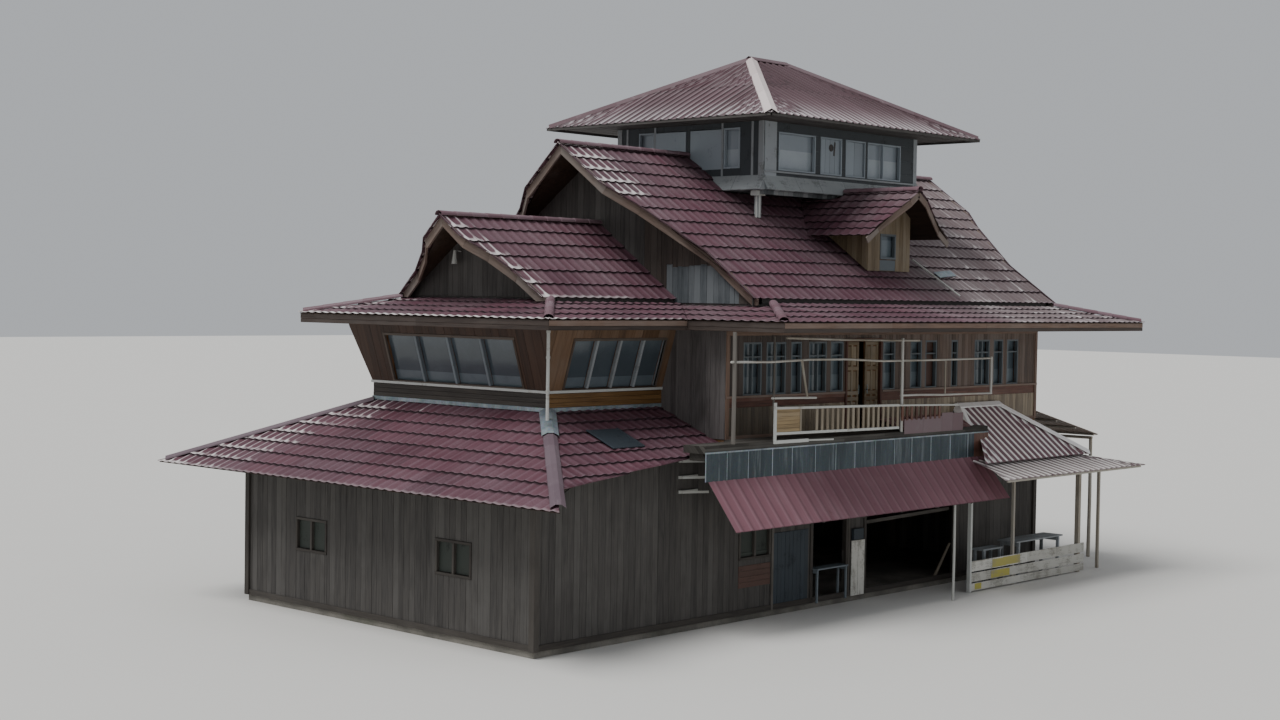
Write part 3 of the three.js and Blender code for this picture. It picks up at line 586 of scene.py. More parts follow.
def addStrip(bm, profile, start, end, piece=0.0, taper=0.07):
    # a profile swept from start to end, in overlapping lengths where piece is given
    start, end = Vector(start), Vector(end)
    run = end - start
    heading = run.normalized()
    side = heading.cross(skyward).normalized()
    lift = side.cross(heading)
    count = max(1, round(run.length / piece)) if piece else 1
    length = run.length / count

    def place(i, j):
        n, far = j // 2, j % 2
        size = 1.0 + (-taper if far else taper) * (1 if piece else 0)
        gone = n * length + far * (length - (0.006 if n < count - 1 else 0.0))
        x, z = profile[i]
        return start + heading * gone + side * (x * size) + lift * (z * size), (gone, x * 1.3), n * 0.37 % 1

    addGrid(bm, len(profile) - 1, count * 2 - 1, place)


class Side:
    # the frame of a wall: along it, up it and out of it
    def __init__(self, origin, along, up, out):
        self.origin, self.along = Vector(origin), Vector(along).normalized()
        self.up, self.out = Vector(up).normalized(), Vector(out).normalized()

    def at(self, a, b, d=0.0):
        return self.origin + self.along * a + self.up * b + self.out * d


def flank(x, hand=1, y=0):
    # an upright face along the house
    return Side((x, y, 0), (0, 1, 0), (0, 0, 1), (hand, 0, 0))


def facade(y, out=-1):
    # an upright face across the house
    return Side((0, y, 0), (1, 0, 0), (0, 0, 1), (0, out, 0))


def shelf(z):
    # a level face, with a along the house and b across it
    return Side((0, 0, z), (0, 1, 0), (1, 0, 0), (0, 0, 1))


def addBoard(bm, side, a, b, d=(0.0, 0.02), grain="a", twist=0.0):
    # a board from a[0] to a[1] along the side, b up it and d out of it; grain names the way its fibres run
    size = Vector((a[1] - a[0], b[1] - b[0], d[1] - d[0]))
    middle = side.at((a[0] + a[1]) / 2, (b[0] + b[1]) / 2, (d[0] + d[1]) / 2)
    axes = Matrix((side.along, side.up, side.out)).transposed().to_4x4()
    turned = Matrix.Translation(middle) @ axes @ Matrix.Rotation(twist, 4, "Z")
    made = bmesh.ops.create_cube(bm, size=1, matrix=turned @ Matrix.Diagonal(size.to_4d()))["verts"]
    tone, slide = dice.random(), dice.random() * 9

    def spot(point):
        off = point - middle
        pa, pb, pd = off.dot(side.along), off.dot(side.up), off.dot(side.out)
        u, v = (pa, pb + pd) if grain == "a" else (pb, pa + pd)
        return u + slide, v + slide

    markParts(bm, made, tone, spot)


def addPost(bm, side, a, half, b, d):
    # an upright board, half its width to each side of a
    addBoard(bm, side, (a - half, a + half), b, d, "b")


def addBeam(bm, start, end, wide, deep):
    # a straight timber between two points, wide across and deep downwards
    start, end = Vector(start), Vector(end)
    heading = (end - start).normalized()
    across = heading.cross(skyward)
    across = across.normalized() if across.length > 0.01 else Vector((0, 1, 0))
    side = Side(start, heading, across.cross(heading), across)
    addBoard(bm, side, (0, (end - start).length), (-deep / 2, deep / 2), (-wide / 2, wide / 2))


def addPole(bm, points, radius, sides=10, taper=0.9):
    # a round pole pushed out along its points from a small disc
    points = [Vector(p) for p in points]
    tone = dice.random()
    heading = (points[1] - points[0]).normalized()
    turn = skyward.rotation_difference(heading).to_matrix().to_4x4()
    ring = bmesh.ops.create_circle(bm, cap_ends=True, segments=sides, radius=radius,
                                   matrix=Matrix.Translation(points[0]) @ turn)["verts"]
    made = list(ring)
    cap = next(iter(set(ring[0].link_faces)))
    shrink = taper ** (1 / (len(points) - 1))
    for here, there in zip(points, points[1:]):
        step = bmesh.ops.extrude_face_region(bm, geom=[cap])["geom"]
        verts = [g for g in step if isinstance(g, bmesh.types.BMVert)]
        cap = next(g for g in step if isinstance(g, bmesh.types.BMFace))
        bmesh.ops.translate(bm, verts=verts, vec=there - here)
        bmesh.ops.scale(bm, verts=verts, vec=(shrink,) * 3, space=Matrix.Translation(-there))
        made += verts

    def spot(point):
        gone = (point - points[0]).dot(heading)
        rest = point - points[0] - heading * gone
        return gone + tone * 7, rest.x + rest.y

    markParts(bm, made, tone, spot)


def cladding(bm, side, area, holes, pitch, upright=True, depth=(-0.004, 0.02), lap=0.0):
    # boards over a wall, cut round its holes; area and holes are (a0, a1, b0, b1)
    a0, a1, b0, b1 = area
    lo, hi = (a0, a1) if upright else (b0, b1)
    count = max(1, round((hi - lo) / pitch))
    marks = [lo + (hi - lo) * n / count for n in range(count + 1)]
    marks = [marks[0]] + [m + dice.uniform(-0.08, 0.08) * pitch for m in marks[1:-1]] + [marks[-1]]
    cuts = sorted({round(h[k], 4) for h in holes for k in ((0, 1) if upright else (2, 3)) if lo < h[k] < hi})
    for cutAt in cuts:
        marks = [m for m in marks if abs(m - cutAt) > pitch * 0.3 or m in (lo, hi)] + [cutAt]
    marks = sorted(set(marks))
    for first, last in zip(marks, marks[1:]):
        mid = (first + last) / 2
        spans = [(b0, b1)] if upright else [(a0, a1)]
        for h in holes:
            inside = (h[0] < mid < h[1]) if upright else (h[2] < mid < h[3])
            if inside:
                low, high = (h[2], h[3]) if upright else (h[0], h[1])
                spans = [s for p, q in spans for s in ((p, min(q, low)), (max(p, high), q))
                         if s[1] - s[0] > 0.01]
        d = (depth[0], depth[1] + dice.uniform(-0.003, 0.003))
        across = (first + 0.002, last - 0.002 + lap)
        for span in spans:
            if upright:
                addBoard(bm, side, across, span, d, "b")
            else:
                addBoard(bm, side, span, across, d)


def trimTo(bm, point, outward):
    # cuts away all that lies beyond a plane and closes the cut
    bmesh.ops.bisect_plane(bm, geom=bm.verts[:] + bm.edges[:] + bm.faces[:], dist=0.0001,
                           plane_co=Vector(point), plane_no=Vector(outward), clear_outer=True)
    edges = [e for e in bm.edges if e.is_boundary]
    if edges:
        bmesh.ops.holes_fill(bm, edges=edges, sides=0)


def addSash(bm, side, hole, wide=0.05, depth=(-0.03, 0.03), bars=()):
    # a frame in a hole, with upright bars at the given places
    a0, a1, b0, b1 = hole
    addBoard(bm, side, (a0, a1), (b1 - wide, b1), depth)
    addBoard(bm, side, (a0, a1), (b0, b0 + wide), depth)
    for a in [a0 + wide / 2, a1 - wide / 2] + list(bars):
        addPost(bm, side, a, wide / 2, (b0 + wide, b1 - wide), depth)


halfRound = [(0.095 * math.sin(math.radians(n)), 0.075 * math.cos(math.radians(n)) - 0.02)
             for n in range(-100, 101, 25)]
foldCap = [(-0.15, -0.075), (-0.14, -0.055), (-0.03, 0.012), (0.0, 0.03), (0.03, 0.012), (0.14, -0.055),
           (0.15, -0.075)]
flatCap = [(-0.14, -0.06), (-0.13, -0.035), (-0.05, 0.02), (0.05, 0.02), (0.13, -0.035), (0.14, -0.06)]

# The two gable roofs; verge gives how far each side reaches forward at some distance from the ridge
mainRoof = {
    "name": "main_roof", "node": "main_roof",
    "ridge": 9.94, "half": 4.62, "pitch": 0.714, "course": 0.465,
    "verge": {1: [(0, 3.95), (1.3, 3.97), (1.9, 4.43), (2.5, 4.72), (3.3, 5.11), (4.62, 5.08)],
              -1: [(0, 3.95), (1.3, 4.22), (1.9, 4.64), (2.5, 4.88), (3.3, 5.11), (4.62, 5.08)]},
    "stop": 8.2, "shine": (1.0, 2.1, 2.7), "caps": [(3.93, 8.2), (18.07, 14.15)],
    "besideLookout": 1.247, "behindLookout": 14.15, "mirrorY": 22.0,      # the far end mirrors the near one
}
frontRoof = {
    "name": "front_roof", "node": "front_gable_roof",
    "ridge": 8.255, "half": 2.32, "pitch": 0.714, "course": 0.475,
    "verge": {1: [(0, 0.62), (0.66, 0.62), (1.04, 0.95), (1.6, 1.2), (2.32, 1.3)],
              -1: [(0, 0.62), (0.66, 0.76), (1.04, 1.06), (1.6, 1.35), (2.32, 1.5)]},
    "stop": 5.298, "shine": (0.85, 1.0, -0.5), "caps": [(0.6, 5.298)],
}


def makeGableRoof(facts):
    half, pitch, stop = facts["half"], facts["pitch"], facts["stop"]
    tiles, lining, caps = newBodies(3)
    tileRows = dict(tileSheet, course=facts["course"])
    for hand in (1, -1):
        eave = sideEave(half, facts["ridge"] - half * pitch, hand)

        def verge(r):
            return bent(facts["verge"][hand], half - r)

        for bm, sheet, grow in ((tiles, tileRows, 0.0), (lining, flatSheet, 0.16)):
            run = (grow, half)
            addSheet(bm, sheet, eave, pitch, run, lambda r: (verge(r) + grow, stop), facts["shine"])
            if "mirrorY" in facts:
                back, shorter = facts["behindLookout"], (grow, half - facts["besideLookout"])
                addSheet(bm, sheet, eave, pitch, shorter, lambda r: (stop, back))
                addSheet(bm, sheet, eave, pitch, run, lambda r: (back, facts["mirrorY"] - verge(r) - grow))
    for start, end in facts["caps"]:
        addStrip(caps, halfRound, (0, start, facts["ridge"] - 0.01), (0, end, facts["ridge"] - 0.01), 0.42)
    closeRoof(facts["name"], facts["node"], tiles, lining, caps)


makeGableRoof(mainRoof)
makeGableRoof(frontRoof)

# Skirt of tiles round the eaves; the reaches are how far each slope goes in
skirt = {
    "eave": 6.2, "pitch": 0.21, "frontHalf": 3.85, "mainHalf": 6.35, "mainFront": 3.9, "mainBack": 18.3,
    "reachFront": 1.74, "reachFrontSide": 1.52,
    "reachMainFront": 1.39, "reachMainSide": 1.73, "reachBack": 1.6,
    "shine": (0.55, 3.5, -0.5), "hips": (1.5, 1.42, 1.56),      # how far in the hips go, front to back
    "hipInset": 0.09, "gableY": 5.29,
}


def makeSkirt(facts):
    z, pitch, fh, mh = facts["eave"], facts["pitch"], facts["frontHalf"], facts["mainHalf"]
    y0, y1 = facts["mainFront"], facts["mainBack"]
    tiles, lining, caps = newBodies(3)
    for bm, sheet, grow in ((tiles, tileSheet, 0.006), (lining, dict(flatSheet, lift=-0.045), 0.03)):
        addSheet(bm, sheet, endEave(0, z, 1), pitch, (grow, facts["reachFront"]),
                 lambda r: (-fh + r, fh - r), facts["shine"])
        addSheet(bm, sheet, endEave(y1, z, -1), pitch, (grow, facts["reachBack"]),
                 lambda r: (-mh + r, mh - r))
        for hand in (1, -1):
            addSheet(bm, sheet, sideEave(fh, z, hand), pitch, (grow, facts["reachFrontSide"]),
                     lambda r: (r, min(y0 + r, facts["gableY"])))
            addSheet(bm, sheet, sideEave(mh, z, hand), pitch, (grow, facts["reachMainSide"]),
                     lambda r: (y0 + r, y1 - r))
            addSheet(bm, sheet, endEave(y0, z, 1, hand), pitch, (grow, facts["reachMainFront"]),
                     lambda r: (fh - r, mh - r))
    for hand in (1, -1):
        for (x, y, inY), reach in zip(((fh, 0, 1), (mh, y0, 1), (mh, y1, -1)), facts["hips"]):
            start = Vector(((x - facts["hipInset"]) * hand, y + facts["hipInset"] * inY, z + 0.014))
            addStrip(caps, halfRound, start, start + Vector((-hand, inY, pitch + 0.025)) * reach, 0.4)
    closeRoof("skirt", "eave_skirt_roof", tiles, lining, caps, 0.012)


makeSkirt(skirt)

# Low hipped roof in front
lowRoof = {
    "top": 4.37, "half": 6.17, "front": -1.95, "roomHalf": 2.67, "roomY": 1.16, "pitchY": 0.46,
    "back": 4.449, "course": 0.428, "shine": (0.66, 4.5, -0.5), "hipInset": 0.15,
    "cutFrom": 0.67, "cutFront": -1.345, "cutSlope": 5.947,      # the right slope is cut at the balcony
}


def makeLowRoof(facts):
    half, y0, pitchY, back = facts["half"], facts["front"], facts["pitchY"], facts["back"]
    runY, runX = facts["roomY"] - y0, half - facts["roomHalf"]
    z = facts["top"] - runY * pitchY
    pitchX = (facts["top"] - z) / runX
    ratio = runX / runY
    cut, inset = facts["cutFrom"], facts["hipInset"]
    tiles, lining, caps = newBodies(3)
    tileRows = dict(tileSheet, course=facts["course"])
    for bm, sheet, grow in ((tiles, tileRows, 0.004), (lining, flatSheet, 0.03)):
        addSheet(bm, sheet, endEave(y0, z, 1), pitchY, (grow, runY),
                 lambda r: (-half + r * ratio, half - r * ratio), facts["shine"])
        sheet = dict(sheet, course=sheet["course"] * 0.99)
        addSheet(bm, sheet, sideEave(half, z, -1), pitchX, (grow, runX), lambda r: (y0 + r / ratio, back))
        addSheet(bm, sheet, sideEave(half, z, 1), pitchX, (cut, runX),
                 lambda r: (y0 + r / ratio, min(back, facts["cutFront"] + (r - cut) * facts["cutSlope"])))
    for hand in (1, -1):
        low = Vector(((half - inset) * hand, y0 + inset / ratio, z + inset * pitchX + 0.015))
        high = Vector((facts["roomHalf"] * hand, facts["roomY"], facts["top"] + 0.005))
        addStrip(caps, flatCap, low, high, 0.95, 0.03)
    closeRoof("low_roof", "low_front_roof", tiles, lining, caps, 0.016, "lowTiles", "hipBrown", 20)


makeLowRoof(lowRoof)

# Lookout roof of ribbed sheets
lookoutRoof = {
    "eave": 10.63, "pitch": 0.507, "half": 3.47, "front": 6.94, "back": 15.15, "soffit": 10.6,
    "soffitHole": (8.29, 14.06, -2.15, 2.15), "inset": 0.03,
    "fresh": (1.0, 90.0, 0.1),      # the two long slopes keep less dust and are darkened with painted shade
}


def makeLookoutRoof(facts):
    z, pitch, half, y0, y1 = facts["eave"], facts["pitch"], facts["half"], facts["front"], facts["back"]
    sheets, caps, nearCap, boards, fascia = newBodies(5)
    ridge = z + half * pitch + 0.006
    for y, inY in ((y0, 1), (y1, -1)):
        addSheet(sheets, ribSheet, endEave(y, z, inY), pitch, (0.0, half), lambda r: (-half + r, half - r))
    for hand in (1, -1):
        addSheet(sheets, ribSheet, sideEave(half, z, hand), pitch, (0.0, half),
                 lambda r: (y0 + r, y1 - r), facts["fresh"])
        for y, inY in ((y0, 1), (y1, -1)):
            bm = nearCap if hand > 0 and inY > 0 else caps
            addStrip(bm, foldCap, (half * hand * 0.985, y + 0.06 * inY, z + 0.04), (0, y + half * inY, ridge),
                     1.6, 0.015)
    addStrip(caps, foldCap, (0, y0 + half - 0.1, ridge), (0, y1 - half + 0.1, ridge), 0.7, 0.015)
    closePiece("lookout_sheets", sheets, "lookoutRibs", "lookout_roof", thick=0.003, soften=30)
    closePiece("lookout_caps", caps, "darkCap", "lookout_roof", thick=0.002, soften=20)
    closePiece("lookout_near_cap", nearCap, "paleCap", "lookout_roof", thick=0.002, soften=20)
    level = Side((0, 0, facts["soffit"]), (0, 1, 0), (1, 0, 0), (0, 0, -1))
    inset = facts["inset"]
    cladding(boards, level, (y0 + inset, y1 - inset, -half + inset, half - inset),
             [facts["soffitHole"]], 0.16, False, (-0.02, 0.0))
    closePiece("lookout_soffit", boards, "dark", "lookout_roof", bevel=0.002)
    high = (facts["soffit"] - 0.05, z - 0.03)
    for hand in (1, -1):
        addBoard(fascia, flank((half - 0.02) * hand, hand), (y0 + 0.02, y1 - 0.02), high, (-0.03, 0.0))
        face = facade(y0 + 0.02 if hand > 0 else y1 - 0.02, -hand)
        addBoard(fascia, face, (-half + 0.02, half - 0.02), high, (-0.03, 0.0))
    closePiece("lookout_fascia", fascia, "dark", "lookout_roof", bevel=0.003)


makeLookoutRoof(lookoutRoof)
print("roofs made")

# Barge boards under the verges, a little behind the edge of the tiles
barges = {
    "deep": 0.24, "deepAcross": 0.1944, "wide": 0.05, "back": 0.09, "drop": 0.036, "overlap": 0.01,
    "runs": [("front_barge", frontRoof, False, "front_barge_boards", 0.0),
             ("main_barge", mainRoof, False, "main_barge_front", skirt["mainFront"]),
             ("back_barge", mainRoof, True, "main_barge_back", skirt["mainBack"])],
}


def vergeLine(roof, hand, far, back, drop):
    # a line under a verge, set back from its edge; on the far end it is mirrored
    spots = []
    for x, y in roof["verge"][hand]:
        y = mainRoof["mirrorY"] - y - back if far else y + back
        spots.append(Vector((x * hand, y, roof["ridge"] - x * roof["pitch"] - drop)))
    return spots


def makeBarges(facts):
    wide = facts["wide"]
    for name, roof, far, node, foot in facts["runs"]:
        for hand in (1, -1):
            boards = newBody()
            spots = vergeLine(roof, hand, far, facts["back"] + wide / 2, facts["drop"] + facts["deep"] / 2)
            for start, end in zip(spots, spots[1:]):
                push = (end - start).normalized() * facts["overlap"]
                addBeam(boards, start - push, end + push, wide, facts["deepAcross"])
            trimTo(boards, (0, 0, 0), (-hand, 0, 0))
            trimTo(boards, (roof["half"] * hand, 0, 0), (hand, 0, 0))
            downhill = (0, -skirt["pitch"] if far else skirt["pitch"], -1)
            trimTo(boards, (0, foot, skirt["eave"] + 0.005), downhill)
            closePiece(name + ("_right" if hand > 0 else "_left"), boards, "barge", node)


makeBarges(barges)

# Boards round all the eaves, and dark ones that keep daylight out of the loft
fascia = {
    "inset": 0.06, "over": 0.016, "board": 3.4, "high": (6.045, 6.148), "low": (5.962, 6.041),
    "sideFillers": [(4.54, (5.12, 16.88), (6.45, 6.655)), (2.25, (1.52, 5.28), (6.45, 6.605))],
    "endFillers": [(1.775, 2.25, (6.4, 6.6)), (5.32, 4.53, (6.35, 6.6)), (16.68, 4.53, (6.35, 6.6))],
}


def makeFascia(facts):
    boards, shady, fillers = newBodies(3)
    inset, over = facts["inset"], facts["over"]
    a, b = skirt["frontHalf"] - inset, skirt["mainHalf"] - inset
    y0, y1, y2 = inset, skirt["mainFront"] + inset, skirt["mainBack"] - inset
    runs = [(facade(y0), -a - over, a + over), (facade(y1), a, b + over), (facade(y1), -b - over, -a),
            (facade(y2, 1), -b - over, b + over)]
    for hand in (1, -1):
        runs += [(flank(a * hand, hand), y0, y1), (flank(b * hand, hand), y1, y2)]
    for side, start, end in runs:
        count = max(1, round((end - start) / facts["board"]))
        upper = shady if side.out.y < 0 else boards
        for n in range(count):
            first, last = [start + (end - start) * m / count for m in (n, n + 1)]
            addBoard(upper, side, (first + 0.001, last - 0.001), facts["high"], (0.0, 0.017))
            addBoard(shady, side, (first + 0.001, last - 0.001), facts["low"], (0.0, 0.012))
    closePiece("eave_fascia", boards, "fascia", bevel=0.003)
    closePiece("eave_shady_fascia", shady, "shadyFascia", bevel=0.003)
    for hand in (1, -1):
        for x, long, high in facts["sideFillers"]:
            addBoard(fillers, flank(x * hand, hand), long, high, (-0.02, 0.0))
    for y, half, high in facts["endFillers"]:
        addBoard(fillers, facade(y), (-half, half), high, (-0.01, 0.01))
    closePiece("eave_fillers", fillers, "dark", bevel=0)


makeFascia(fascia)

# Walls of the hall: right, left, back and the dark recess beside the front room; openings are
# (start, end, foot, top), and boards gives the widths above, below and in the band
hall = {
    "half": 4.4, "front": 4.45, "back": 16.4, "floor": 3.75, "band": 4.39, "sill": 4.62, "top": 5.95,
    "windows": [(5.0, 5.6), (5.75, 6.4), (6.57, 6.93), (7.18, 7.8), (7.94, 8.4), (9.86, 10.34),
                (10.93, 11.39), (11.53, 12.0), (12.6, 12.87), (13.59, 14.25), (14.42, 14.85), (15.02, 15.54)],
    "windowZ": (4.62, 5.72), "door": (8.48, 9.79, 3.75, 5.76), "boards": (0.135, 0.12, 0.115),
    "backWindows": [(-2.9, -1.5, 4.65, 5.7), (1.5, 2.9, 4.65, 5.7)], "backBoards": (0.14, 0.13, 0.115),
    "backFoot": 3.96, "backBars": (0.47, 0.94), "barredFrom": 0.55,      # wider windows have a middle bar
    "transom": (5.40, 5.435), "recess": (2.68, 4.42), "recessBattens": (3.12, 3.56, 4.0),
    "redPanel": ((11.56, 11.97), (4.65, 5.68)),
}
rightWall, leftWall, backWall = flank(hall["half"]), flank(-hall["half"], -1), facade(hall["back"], 1)
sillTrim, topTrim = (4.585, 4.63), (5.86, 5.95)


def makeHallWalls(facts):
    y0, y1, half = facts["front"], facts["back"], facts["half"]
    floor, band, sill, top = facts["floor"], facts["band"], facts["sill"], facts["top"]
    upper, lower, middle, sashes, trim = newBodies(5)

    def clad(side, a0, a1, windows, door, wide, foot):
        cladding(upper, side, (a0, a1, sill, top), windows + door, wide[0])
        cladding(lower, side, (a0, a1, foot, band), door, wide[1])
        cladding(middle, side, (a0, a1, band, sill), door, wide[2], False, lap=0.004)

    for side, door in ((rightWall, [facts["door"]]), (leftWall, [])):
        holes = [(a, b) + facts["windowZ"] for a, b in facts["windows"]]
        clad(side, y0, y1, holes, door, facts["boards"], floor)
        for hole in holes:
            a, b = hole[:2]
            bars = [(a + b) / 2] if b - a > facts["barredFrom"] else []
            addSash(sashes, side, hole, 0.042, (-0.07, 0.018), bars)
            addBoard(sashes, side, (a + 0.04, b - 0.04), facts["transom"], (-0.06, 0.005))
        for span in ([(y0, door[0][0] - 0.04), (door[0][1] + 0.04, y1)] if door else [(y0, y1)]):
            addBoard(trim, side, span, sillTrim, (0.0, 0.055))
            addBoard(trim, side, span, (floor + 0.002, floor + 0.07), (0.0, 0.035))
        addBoard(trim, side, (y0, y1), topTrim, (0.0, 0.04))
        for a in (y0 + 0.05, y1 - 0.05):
            addPost(trim, side, a, 0.05, (floor, topTrim[0]), (0.0, 0.045))
    clad(backWall, -half, half, facts["backWindows"], [], facts["backBoards"], facts["backFoot"])
    for hole in facts["backWindows"]:
        addSash(sashes, backWall, hole, 0.05, (-0.07, 0.02), [hole[0] + bar for bar in facts["backBars"]])
    addBoard(trim, backWall, (-half - 0.02, half + 0.02), sillTrim, (0.0, 0.05))
    addBoard(trim, backWall, (-half - 0.02, half + 0.02), topTrim, (0.0, 0.04))
    closePiece("hall_upper_boards", upper, "hallPlanks", bevel=0.003)
    closePiece("hall_lower_boards", lower, "hallLow", bevel=0.003)
    closePiece("hall_band_boards", middle, "redBrown", bevel=0.003)
    closePiece("hall_window_sashes", sashes, "blueFrame")
    closePiece("hall_trim", trim, "fascia", slot="varnished_wood")
    recess, panels = newBodies(2)
    for hand in (1, -1):
        face = Side((0, y0, 0), (hand, 0, 0), (0, 0, 1), (0, -1, 0))
        cladding(recess, face, facts["recess"] + (floor + 0.01, top), [], 0.13, True, (-0.004, 0.018))
        for a in facts["recessBattens"]:
            addPost(recess, face, a, 0.02, (4.0, 5.94), (0.016, 0.036))
    closePiece("recess_boards", recess, "recess", bevel=0.003)
    addBoard(panels, rightWall, *facts["redPanel"], (-0.105, -0.085), "b")
    closePiece("red_window_panel", panels, "redPanel", bevel=0.003)


makeHallWalls(hall)

# Balcony door: two leaves that stand a little apart
balconyDoor = {
    "leaves": [(8.53, 9.02), (9.255, 9.745)], "top": 5.71, "face": -0.045, "frame": (8.46, 9.81, 3.75, 5.78),
    "rails": (3.82, 4.45, 4.58, 5.12, 5.67), "panels": ((3.89, 4.38), (4.65, 5.05), (5.19, 5.6)),
    "handles": (8.98, 9.295), "handleZ": (4.56, 4.65, 4.76),
}


def makeBalconyDoor(facts):
    leaves, frameParts, handles = newBodies(3)
    d = facts["face"]
    for a0, a1 in facts["leaves"]:
        middle = (a0 + a1) / 2
        for a in (a0 + 0.035, middle, a1 - 0.035):
            addPost(leaves, rightWall, a, 0.035, (3.76, facts["top"]), (d - 0.004, d + 0.022))
        for z in facts["rails"]:
            addBoard(leaves, rightWall, (a0, a1), (z - 0.04, z + 0.04), (d - 0.003, d + 0.024))
        for z in facts["panels"]:
            for a in (middle - 0.1, middle + 0.1):
                addPost(leaves, rightWall, a, 0.06, z, (d - 0.003, d + 0.012))
    closePiece("door_leaf_panels", leaves, "dullYellow")
    addSash(frameParts, rightWall, facts["frame"], 0.065, (-0.02, 0.05))
    low, middle, high = facts["handleZ"]
    for a in facts["handles"]:
        addPole(handles, [rightWall.at(a, middle, d + 0.02), rightWall.at(a, middle, d + 0.06)], 0.012, 8)
        addPole(handles, [rightWall.at(a, low, d + 0.06), rightWall.at(a, high, d + 0.06)], 0.009, 8)
    closePiece("door_frame", frameParts, "redBrown")
    closePiece("door_handles", handles, "flashing", soften=40)


makeBalconyDoor(balconyDoor)

# Front room: leaning window walls over an upright band
room = {
    "half": 2.67, "front": 1.16, "back": 4.44, "base": 4.7, "top": 5.96, "lean": 0.39,
    "frontWindows": [(-1.93 + n, -0.99 + n) for n in range(4)],
    "sideWindows": [(1.56 + n * 0.67, 2.18 + n * 0.67) for n in range(4)], "windowZ": (4.78, 5.74),
    "sill": (4.695, 4.75), "band": (4.415, 4.69), "flashing": (4.33, 4.412),
    "pipe": (3.13, 0.705), "pipeZ": (4.2, 5.0, 5.955), "clips": (4.75, 5.4, 5.9),
    "hipSheet": ((3.62, 0.32, 4.0), (2.68, 1.15, 4.385)),
}


def makeRoomWalls(facts):
    half, y0, base, lean = facts["half"], facts["front"], facts["base"], facts["lean"]
    rise = facts["top"] - base
    long = math.hypot(rise, lean)
    low, high = [(z - base) * long / rise for z in facts["windowZ"]]
    planks, frames, mullions, trim, frontBars = newBodies(5)

    def leaning(bm, face, a0, a1, windows):
        # planks round one wide opening; gives the place of its frame and the middles of the bars in it
        first, last = windows[0][0], windows[-1][1]
        cladding(bm, face, (a0, a1, 0.0, long - 0.005), [(first, last, low, high)], 0.24, True,
                 (-0.004, 0.016))
        middles = [(left[1] + right[0]) / 2 for left, right in zip(windows, windows[1:])]
        return (first - 0.05, last + 0.05, low - 0.05, high + 0.05), middles

    frontFace = Side((0, y0, base), (1, 0, 0), (0, -lean, rise), (0, -rise, -lean))
    frontHole, frontMiddles = leaning(planks, frontFace, -half - lean, half + lean, facts["frontWindows"])
    for hand in (1, -1):
        trimTo(planks, (half * hand, y0, 0), (hand, 1, 0))
    for hand in (1, -1):
        sidePlanks = newBody()
        face = Side((half * hand, 0, base), (0, 1, 0), (lean * hand, 0, rise), (rise * hand, 0, -lean))
        hole, middles = leaning(sidePlanks, face, y0 - lean, 4.445, facts["sideWindows"])
        trimTo(sidePlanks, (half * hand, y0, 0), (-hand, -1, 0))
        closePiece("right_room_planks" if hand > 0 else "left_room_planks", sidePlanks, "orange", bevel=0.002)
        addSash(frames, face, hole, 0.055, (-0.02, 0.03))
        for a in middles:
            addPost(mullions, face, a, 0.03, (low - 0.01, high + 0.01), (-0.05, 0.028))
        addBoard(mullions, face, (hole[1] - 0.055, hole[1]), (low, high), (-0.05, 0.026), "b")
        addBoard(trim, flank(half * hand, hand), (y0 - 0.02, facts["back"]), facts["sill"], (-0.02, 0.05))
    addSash(frames, frontFace, frontHole, 0.055, (-0.02, 0.03))
    for a in frontMiddles:
        addPost(frontBars, frontFace, a, 0.031, (low - 0.01, high + 0.01), (-0.06, 0.022))
    addBoard(trim, facade(y0), (-half - 0.05, half + 0.05), facts["sill"], (-0.02, 0.05))
    closePiece("front_room_planks", planks, "frontPlanks", bevel=0.002)
    closePiece("front_room_frames", frames, "dullWood")
    closePiece("front_room_mullions", mullions, "greyPaint")
    closePiece("front_room_front_bars", frontBars, "benchPaint")
    closePiece("front_room_sill", trim, "white", bevel=0.005)


def makeRoomBase(facts):
    half, y0 = facts["half"], facts["front"]
    dim, warm, zinc, pipe, hipSheet = newBodies(5)
    upright = facade(y0)
    cladding(dim, upright, (-half, half) + facts["band"], [], 0.09, False)
    addBoard(zinc, upright, (-half - 0.03, half + 0.03), facts["flashing"], (-0.002, 0.028))
    for hand in (1, -1):
        face = flank(half * hand, hand)
        cladding(warm if hand > 0 else dim, face, (y0, facts["back"]) + facts["band"], [], 0.09, False)
        addBoard(zinc, face, (y0 - 0.03, facts["back"]), facts["flashing"], (-0.002, 0.028))
    closePiece("front_band_boards", dim, "bandBoards", bevel=0.003)
    closePiece("side_band_boards", warm, "yellow", bevel=0.003)
    closePiece("wall_flashing", zinc, "flashing")
    x, y = facts["pipe"]
    addPole(pipe, [(x, y, z) for z in facts["pipeZ"]], 0.033, 14, 1.0)
    for z in facts["clips"]:
        addPole(pipe, [(x, y, z), (x, y, z + 0.05)], 0.042, 14, 1.0)
    closePiece("corner_pipe_and_clips", pipe, "white", "corner_pipe", soften=40)
    addStrip(hipSheet, [(x * 1.2, h + 0.012) for x, h in flatCap], *facts["hipSheet"])
    closePiece("hip_flashing", hipSheet, "flashing", thick=0.002, soften=20)


makeRoomWalls(room)
makeRoomBase(room)
print("hall and front room made")

# Gable walls of upright boards
gables = {
    "main": {"y": 5.3, "ridge": 9.865, "half": 4.52, "base": 6.5, "out": -1},
    "back": {"y": 16.7, "ridge": 9.865, "half": 4.52, "base": 6.54, "out": 1},
    "front": {"y": 1.75, "ridge": 8.18, "half": 2.24, "base": 6.58, "out": -1},
}
litNewBoards = {"from": 1.95, "to": 4.1, "top": 7.28, "brownFrom": 1.35}      # grey new boards in the lit patch on the main gable's right side; above top they are brown, painted shade under the roof overhang


